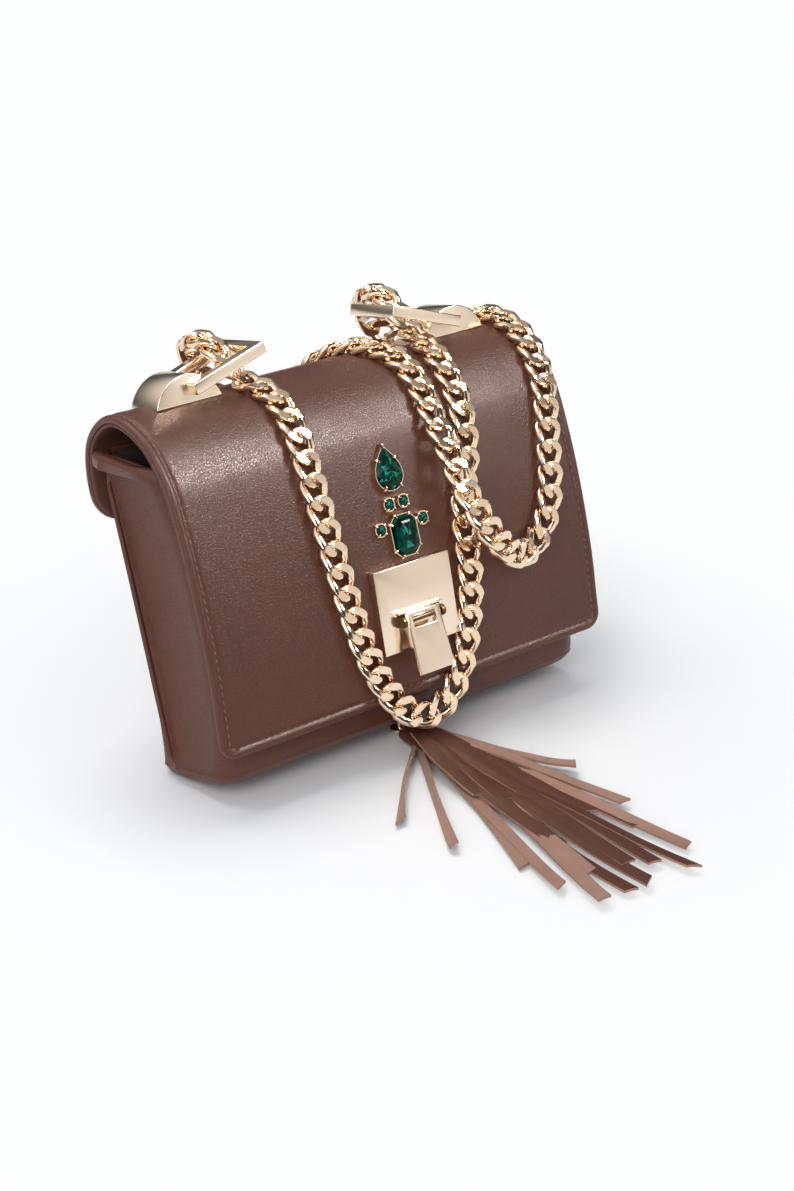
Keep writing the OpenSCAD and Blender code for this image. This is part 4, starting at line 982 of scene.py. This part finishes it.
def on_arch(side):
    """A placing on the crest at one arch."""
    return lambda p: stood(p + [side * ARCH_X, ARCH_Y, ARCH_Z])


for side, name in ((-1, "arch_left"), (1, "arch_right")):
    bpy.ops.object.select_all(action="DESELECT")
    bpy.ops.mesh.primitive_cylinder_add(
        vertices=128, radius=ARCH_RADIUS * MM, depth=ARCH_D * MM,
        location=(0, 0, (ARCH_H - ARCH_RADIUS) * MM), rotation=(math.pi / 2, 0, 0))
    moon = applied(name + "_bridge")
    edit_all(moon)
    bpy.ops.mesh.bisect(plane_co=(0, 0, -ARCH_BELOW * MM), plane_no=(0, 0, 1), clear_inner=True,
                        use_fill=True)
    bpy.ops.object.mode_set(mode="OBJECT")
    bevelled(moon, ARCH_EDGE)
    settle(moon, on_arch(side), "flap", name)

# Rings
# Rectangular rings of square polished bar. Each one straddles its arch, swings on a pin, and
# rests raised towards the middle of the bag.
RING_BAR, RING_LEN, RING_PLAY, RING_EDGE = 4.6, 34.0, 1.2, 0.4
RING_OUT = ARCH_D + RING_PLAY + 2 * RING_BAR
PIVOT_IN, PIVOT_Z = 2.5, 4.4
for side, name, tilt in ((-1, "left", 16.0), (1, "right", 18.0)):
    bpy.ops.object.select_all(action="DESELECT")
    bpy.ops.mesh.primitive_plane_add(size=1, location=((RING_LEN - RING_BAR / 2) / 2 * MM, 0,
                                                       -RING_BAR / 2 * MM))
    bpy.context.object.scale = ((RING_LEN + RING_BAR / 2) * MM, RING_OUT * MM, 1)
    ring = applied("ring_" + name + "_frame")
    edit_all(ring)
    bpy.ops.mesh.inset(thickness=RING_BAR * MM, use_boundary=True)
    bpy.ops.mesh.delete(type="ONLY_FACE")
    bpy.ops.mesh.select_all(action="SELECT")
    bpy.ops.mesh.extrude_region_move(TRANSFORM_OT_translate={"value": (0, 0, RING_BAR * MM)})
    bpy.ops.object.mode_set(mode="OBJECT")
    bevelled(ring, RING_EDGE)

    def swung(p, side=side, a=math.radians(tilt)):
        """The ring's place at rest."""
        x = p[:, 0] * math.cos(a) - p[:, 2] * math.sin(a)
        z = p[:, 2] * math.cos(a) + p[:, 0] * math.sin(a)
        return on_arch(side)(np.stack([-side * (x + PIVOT_IN), p[:, 1], z + PIVOT_Z], 1))

    settle(ring, swung, name + "_ring", "ring_" + name)

# Stones
# Green glass stones with foiled backs, cut in facets. The large ones are a step-cut octagon
# and a pear, and the four small ones are round.
OCTAGON_W, OCTAGON_H, PEAR_W, PEAR_H, SMALL_R, STONE_Z = 14.0, 17.5, 14.4, 19.0, 2.55, 79.5
SEAT, GAP = 3.3, 1.0
PAIR_UP = OCTAGON_H / 2 + SEAT + GAP
PEAR_UP = PAIR_UP + SEAT + GAP + PEAR_H / 2
# Shares of the painted-shade, plain and painted-flash green in the facets round a stone and its
# table.
DULL, MIXED, LIVELY = (0, 1, 1), (0, 0, 1, 2), (0, 1, 1, 2)


def glass(name, deep, tone):
    """Foiled green glass with a polished surface."""
    material, tree, shader = new_material(name)
    ramp = add_node(tree, "ValToRGB", {"Fac": noise(tree, 420, 1)})
    low, high = ramp.node.color_ramp.elements
    low.position, low.color = 0.35, (*deep, 1)
    high.position, high.color = 0.65, (*tone, 1)
    feed(tree, shader, {"Base Color": ramp, "Roughness": 0.1, "Specular IOR Level": 0.15})
    return material


# The deep and flash greens are shaded and lit copies of the plain glass green: painted shade and
# painted flashes of light, set facet by facet.
green_tones = (glass("green_painted_shade", (0.0, 0.006, 0.004), (0.0, 0.020, 0.013)),
               glass("green_glass", (0.0, 0.030, 0.019), (0.0, 0.075, 0.048)),
               glass("green_painted_flash", (0.0, 0.16, 0.105), (0.03, 0.40, 0.28)))


def octagon_line(inset):
    """Corners of the octagon, in from its edge."""
    w, h = OCTAGON_W / 2 - inset, OCTAGON_H / 2 - inset
    c = OCTAGON_W / 4.4 - inset * 0.45
    return np.array([(-w + c, -h), (w - c, -h), (w, -h + c), (w, h - c), (w - c, h), (-w + c, h),
                     (-w, h - c), (-w, -h + c)])


def pear_line(inset, turn=0.0):
    """A pear with full sides that meet in a point at the top."""
    r, tip = PEAR_W / 2 - inset, PEAR_H - PEAR_W / 2 - inset * 1.35
    line = []
    for k in range(20):
        a = 2 * math.pi * (k + turn) / 20 - math.pi / 2
        if math.sin(a) <= 0:
            line.append((r * math.cos(a), r * math.sin(a)))
        else:
            t = math.sin(a) ** 1.15
            line.append((math.copysign(r * (1 - t ** 1.75), math.cos(a)), tip * t))
    return np.array(line) + [0, (PEAR_W - PEAR_H) / 2]


def round_line(inset, points=10, turn=0.0):
    """A small round stone."""
    a = 2 * np.pi * (np.arange(points) + turn) / points
    return (SMALL_R - inset) * np.stack([np.cos(a), np.sin(a)], 1)


def level(line, out):
    """A line of (across, up) at a height over the leather."""
    return [(x, -out, z) for x, z in line]


random.seed(11)


def cut_stone(rings, step_cut):
    """Points, faces and tones of a faceted stone from its girdle up to its table; the tones are
    painted shade and painted flashes of light.
    """
    n = len(rings[0][0])
    top, out = rings[-1]
    middle = top.mean(0)
    table = (top + np.roll(top, -1, axis=0)) / 4 + middle / 2
    points = sum([level(line, o) for line, o in rings + [(table, out)]], [])
    faces, tones = [], []
    for r in range(len(rings)):
        in_table = r == len(rings) - 1
        for k in range(n):
            a, b = r * n + k, r * n + (k + 1) % n
            if step_cut and not in_table:
                faces.append((a, b, b + n, a + n))
                tones.append(random.choice(DULL))
            else:
                faces += [(a, b, a + n), (b, b + n, a + n)]
                tones += [random.choice(LIVELY if in_table else DULL),
                          random.choice(LIVELY if in_table else MIXED)]
    last, base = len(rings) * n, len(points) + 1
    points += [(middle[0], -out, middle[1])] + level(rings[0][0] * 0.96, rings[0][1] - 0.5)
    faces += [(last + k, last + (k + 1) % n, base - 1) for k in range(n)]
    tones += [random.choice(MIXED) for _ in range(n)]
    faces += [(k, (k + 1) % n, base + (k + 1) % n, base + k) for k in range(n)]
    faces.append(range(base, base + n))
    return np.array(points), faces, tones + [0] * (n + 1)


octagon_shape = cut_stone([(octagon_line(0.55), 2.3), (octagon_line(1.7), 3.3),
                           (octagon_line(2.9), 3.95), (octagon_line(3.7), 4.2)], True)
pear_shape = cut_stone([(pear_line(0.55), 2.3), (pear_line(2.2, turn=0.5), 3.5),
                        (pear_line(3.4, turn=1.0), 4.2)], False)
round_shape = cut_stone([(round_line(0.15), 1.9), (round_line(0.7, turn=0.5), 2.6),
                         (round_line(1.2, turn=1.0), 2.9)], False)
on_octagon = [on_face(1.2, STONE_Z, SEAT)]
on_pear = [on_face(0.3, STONE_Z + PEAR_UP, SEAT)]
on_smalls = [on_face(x, STONE_Z + up, SEAT)
             for x, up in ((-3.0, PAIR_UP), (4.2, PAIR_UP), (-9.8, OCTAGON_H / 4),
                           (11.9, OCTAGON_H / 4))]
for name, (points, faces, tones), places, node in (
        ("octagon_gem", octagon_shape, on_octagon, "octagon_stone"),
        ("pear_gem", pear_shape, on_pear, "pear_stone"),
        ("round_gems", round_shape, on_smalls, "small_stones")):
    hang(add_piece(name, joined((place(points), faces) for place in places), *green_tones,
                   marks=tones * len(places), smooth=None), "flap", "emerald", node)

# Settings
# Stamped brass cups with bent claws, plated pale gold, riveted through the flap's leather.


def cup(line_out, line_in, top):
    """The thin wall round a stone."""
    return swept([level(line_out, 0.02), level(line_out, top), level(line_in, top),
                  level(line_in, 0.9)])


def claw(at, inward, girdle, over, thick):
    """A round claw that rises beside the stone and bends over its edge."""
    inward = unit(np.array(inward, float))
    side = np.array([-inward[1], inward[0]])
    path = np.array([(-0.25, 0.1), (-0.25, girdle * 0.6), (-0.2, girdle - 0.1),
                     (0.05, girdle + 0.4), (over * 0.5, girdle + 0.62), (over, girdle + 0.75),
                     (over + 0.25, girdle + 0.74)])
    ways = unit(np.vstack([path[1:], path[-1:]]) - np.vstack([path[:1], path[:-1]]))
    sections = []
    for (along, out), d, size in zip(path, ways, (1.0, 1.0, 1.0, 1.0, 0.95, 0.8, 0.4)):
        turns = [2 * math.pi * j / 8 for j in range(8)]
        flat = [at + inward * (along - d[1] * math.cos(a) * thick * size)
                + side * math.sin(a) * thick * size for a in turns]
        sections.append([(x, -(out + d[0] * math.cos(a) * thick * size), z)
                         for (x, z), a in zip(flat, turns)])
    return swept(sections)


octagon_set = [cup(octagon_line(0.15), octagon_line(0.5), 2.3)] + [
    claw(p, -p * [1, 0.6], 2.3, 1.1, 0.5) for p in octagon_line(0.15)]
pear_set = [cup(pear_line(0.2), pear_line(0.52), 2.25)] + [
    claw(p, -p, 2.3, 1.1, 0.55) for p in pear_line(0.1)[[2, 7, 10, 13, 18]]]
round_set = [cup(round_line(-0.35, 16), round_line(0.1, 16), 1.75)] + [
    claw(p, -p, 1.9, 0.65, 0.42) for p in round_line(-0.45, 4, 0.5)]
for name, shapes, places, node in (
        ("octagon_cup", octagon_set, on_octagon, "octagon_setting"),
        ("pear_cup", pear_set, on_pear, "pear_setting"),
        ("round_cups", round_set, on_smalls, "small_settings")):
    shape = joined((place(points), faces) for place in places for points, faces in shapes)
    hang(add_piece(name, shape, pale_gold, smooth=40), "flap", "pale_gold", node)

# Tassel
# A fan of narrow calf strips, smooth on one face and suede on the other, lying on the floor
# in front of the bag. The fan has three layers, gathered in a folded sleeve.
suede = leather("suede_side", (0.250, 0.125, 0.088), (0.500, 0.285, 0.210), rough=0.9,
                cell=0.35, bump=0.05, crease=0.3, sheen=0.2, gloss_level=0.1)
smooth_strip = leather("smooth_strip", (0.072, 0.0240, 0.0138), (0.126, 0.043, 0.0265),
                       rough=0.42, cell=0.7, bump=0.03, gloss_level=0.2)
cut_edge = leather("cut_edge", (0.30, 0.16, 0.105), (0.48, 0.28, 0.20), rough=0.85, cell=0.3,
                   bump=0.03, crease=0.3)
TASSEL_LEN, STRIP_T, STRIP_STEPS, CROWN = 139.0, 1.0, 30, 0.28
ROOT_Y, ROOT_SPREAD, LAYER_STEP = -51.1, 9.0, 0.34
# A strip's section: across from its middle, and its underside 0 or top 1. Its two faces and
# two cut edges take the smooth 0, the suede 1 and the edge 2.
STRIP_SECTION = ((-1, 0), (-0.33, 0), (0.33, 0), (1, 0), (1, 1), (0.33, 1), (-0.33, 1), (-1, 1))
# Each strip: its tip to the right and forward as shares of the length, its width, its twist
# about its own length in degrees, how far its tip curls up, and whether its suede side is up.
low_strips = [(-0.355, 0.296, 4.2, 80, 1.0, True), (-0.345, 0.500, 4.2, 74, 2.0, True),
              (-0.266, 0.685, 5.6, 8, 0.3, True), (-0.276, 0.841, 5.8, -6, 2.4, True),
              (-0.252, 0.969, 5.8, 4, 3.0, True), (-0.168, 0.831, 5.2, 6, 0.8, True),
              (0.049, 0.993, 5.2, -12, 1.4, False), (0.122, 0.898, 5.4, 10, 0.4, True),
              (0.196, 0.378, 6.6, -12, 2.6, True)]
middle_strips = [(-0.139, 0.970, 6.2, -6, 1.2, False), (-0.095, 0.975, 6.0, 5, 2.0, False),
                 (-0.016, 0.908, 6.6, -4, 1.4, False), (-0.072, 0.870, 6.6, 4, 1.6, False),
                 (-0.120, 0.670, 6.6, 6, 0.4, False), (0.156, 0.619, 6.2, -9, 0.8, True),
                 (-0.106, 0.553, 6.6, -8, 0.3, False)]
top_strips = [(0.095, 0.741, 6.4, 7, 0.6, False), (0.018, 0.721, 6.8, -3, 0.6, False),
              (0.044, 0.594, 6.8, 5, 0.6, False), (-0.008, 0.563, 6.8, 2, 0.6, False),
              (0.020, 0.434, 7.0, 4, 0.7, False), (-0.056, 0.410, 7.0, -5, 0.7, False),
              (-0.096, 0.346, 7.0, -8, 0.8, False)]
random.seed(7)


def strip_shape(strip, x0, high_up):
    """One strip, as a bent ribbon a little hollow across, with square cut edges."""
    right, forward, width, roll, curl, suede_up = strip
    a = np.array([x0, ROOT_Y + 4])
    b = np.array([x0 * 2.0 - 2.0 + right * TASSEL_LEN * 0.36,
                  ROOT_Y - forward * TASSEL_LEN * 0.46])
    c = np.array([x0 / 2 + right * TASSEL_LEN, ROOT_Y - forward * TASSEL_LEN])
    wave, bow = random.uniform(0, 6.28), random.uniform(-2.0, 2.0)
    lift, slant = random.uniform(0.3, 1.2), random.uniform(-2.6, 2.6)
    sections = []
    for i in range(STRIP_STEPS + 1):
        t = i / STRIP_STEPS
        d = unit(2 * (1 - t) * (b - a) + 2 * t * (c - b))
        side = np.array([-d[1], d[0]])
        p = (1 - t) ** 2 * a + 2 * t * (1 - t) * b + t * t * c
        p = p + side * bow * math.sin(math.pi * t)
        turn = math.radians(roll) * math.sin(math.pi * min(1, t * 0.75 + 0.12)) ** 0.8
        half = width / 2 * (0.95 + 0.05 * math.cos(3 * t + wave))
        high = high_up * (1.5 - 0.9 * t) + lift * math.sin(math.pi * t)
        high += abs(math.sin(turn)) * half + 0.35 * math.sin(wave + 6 * t) ** 2
        high += curl * max(0, (t - 0.72) / 0.28) ** 2
        cut = d * slant if i == STRIP_STEPS else 0 * d
        ring = []
        for u, v in STRIP_SECTION:
            rise = v * STRIP_T + CROWN * (1 - u * u)
            z = high + rise * math.cos(turn) + u * half * math.sin(turn)
            q = p + side * (u * half * math.cos(turn) - rise * math.sin(turn)) + cut * u
            ring.append((q[0], q[1], max(z, 0.02 + v * 0.3)))
        sections.append(np.array(ring) * MM)
    under, over = (0, 1) if suede_up else (1, 0)
    marks = [under] * 3 + [2] + [over] * 3 + [2]
    return *swept(sections), marks * STRIP_STEPS + [2, 2]


for node, strips, high_up in (("tassel_fringe_low", low_strips, 0.2),
                              ("tassel_fringe_middle", middle_strips, 1.6),
                              ("tassel_fringe_top", top_strips, 2.9)):
    order = sorted(range(len(strips)), key=lambda k: strips[k][0])
    shapes = [strip_shape(strips[k], ROOT_SPREAD * (rank / (len(strips) - 1) - 0.5),
                          high_up + LAYER_STEP * k) for rank, k in enumerate(order)]
    piece = add_piece(node + "_strips", joined(shape[:2] for shape in shapes), smooth_strip,
                      suede, cut_edge, marks=sum([shape[2] for shape in shapes], []))
    hang(piece, "tassel", "suede", node)

# Tassel sleeve
# A strip of calf wrapped round the strips' roots and glued to itself, so that its outer end
# shows as a step along the top.
SLEEVE_START, SLEEVE_LEN, SLEEVE_HALF, SLEEVE_HIGH = -36.4, 16.0, 8.4, 7.4
LAP_T, LAP_AT, SLEEVE_ROUND = 0.55, 20, 64
sections = []
for along, shrink in ((0.0, 1.9), (0.25, 1.2), (0.8, 0.7), (2.2, 0.4), (5.0, 0.25), (8.0, 0.1),
                      (12.0, 0.05), (15.0, 0.0), (15.8, 0.12), (SLEEVE_LEN, 0.5), (15.8, 0.9),
                      (14.0, 1.1), (11.0, 1.2)):
    k = np.arange(SLEEVE_ROUND)
    a = 2 * np.pi * k / SLEEVE_ROUND
    lap = LAP_T * ((k - LAP_AT) % SLEEVE_ROUND) / SLEEVE_ROUND - LAP_T
    skin = lap + 0.16 * np.sin(5 * a + along / 2.2) * math.sin(along / 5) - shrink
    half_x = SLEEVE_HALF * (0.86 + 0.14 * along / SLEEVE_LEN) + skin
    x = np.sign(np.cos(a)) * np.abs(np.cos(a)) ** 0.8 * half_x
    z = np.sign(np.sin(a)) * np.abs(np.sin(a)) ** 0.8 * (SLEEVE_HIGH / 2 + skin)
    sections.append(np.stack([x, 0 * a + SLEEVE_START - along,
                              np.maximum(0.05, z + SLEEVE_HIGH / 2)], 1) * MM)
sleeve = add_piece("folded_sleeve", swept(sections), brown_calf, smooth=40)
hang(sleeve, "tassel", "body_leather", "tassel_sleeve")
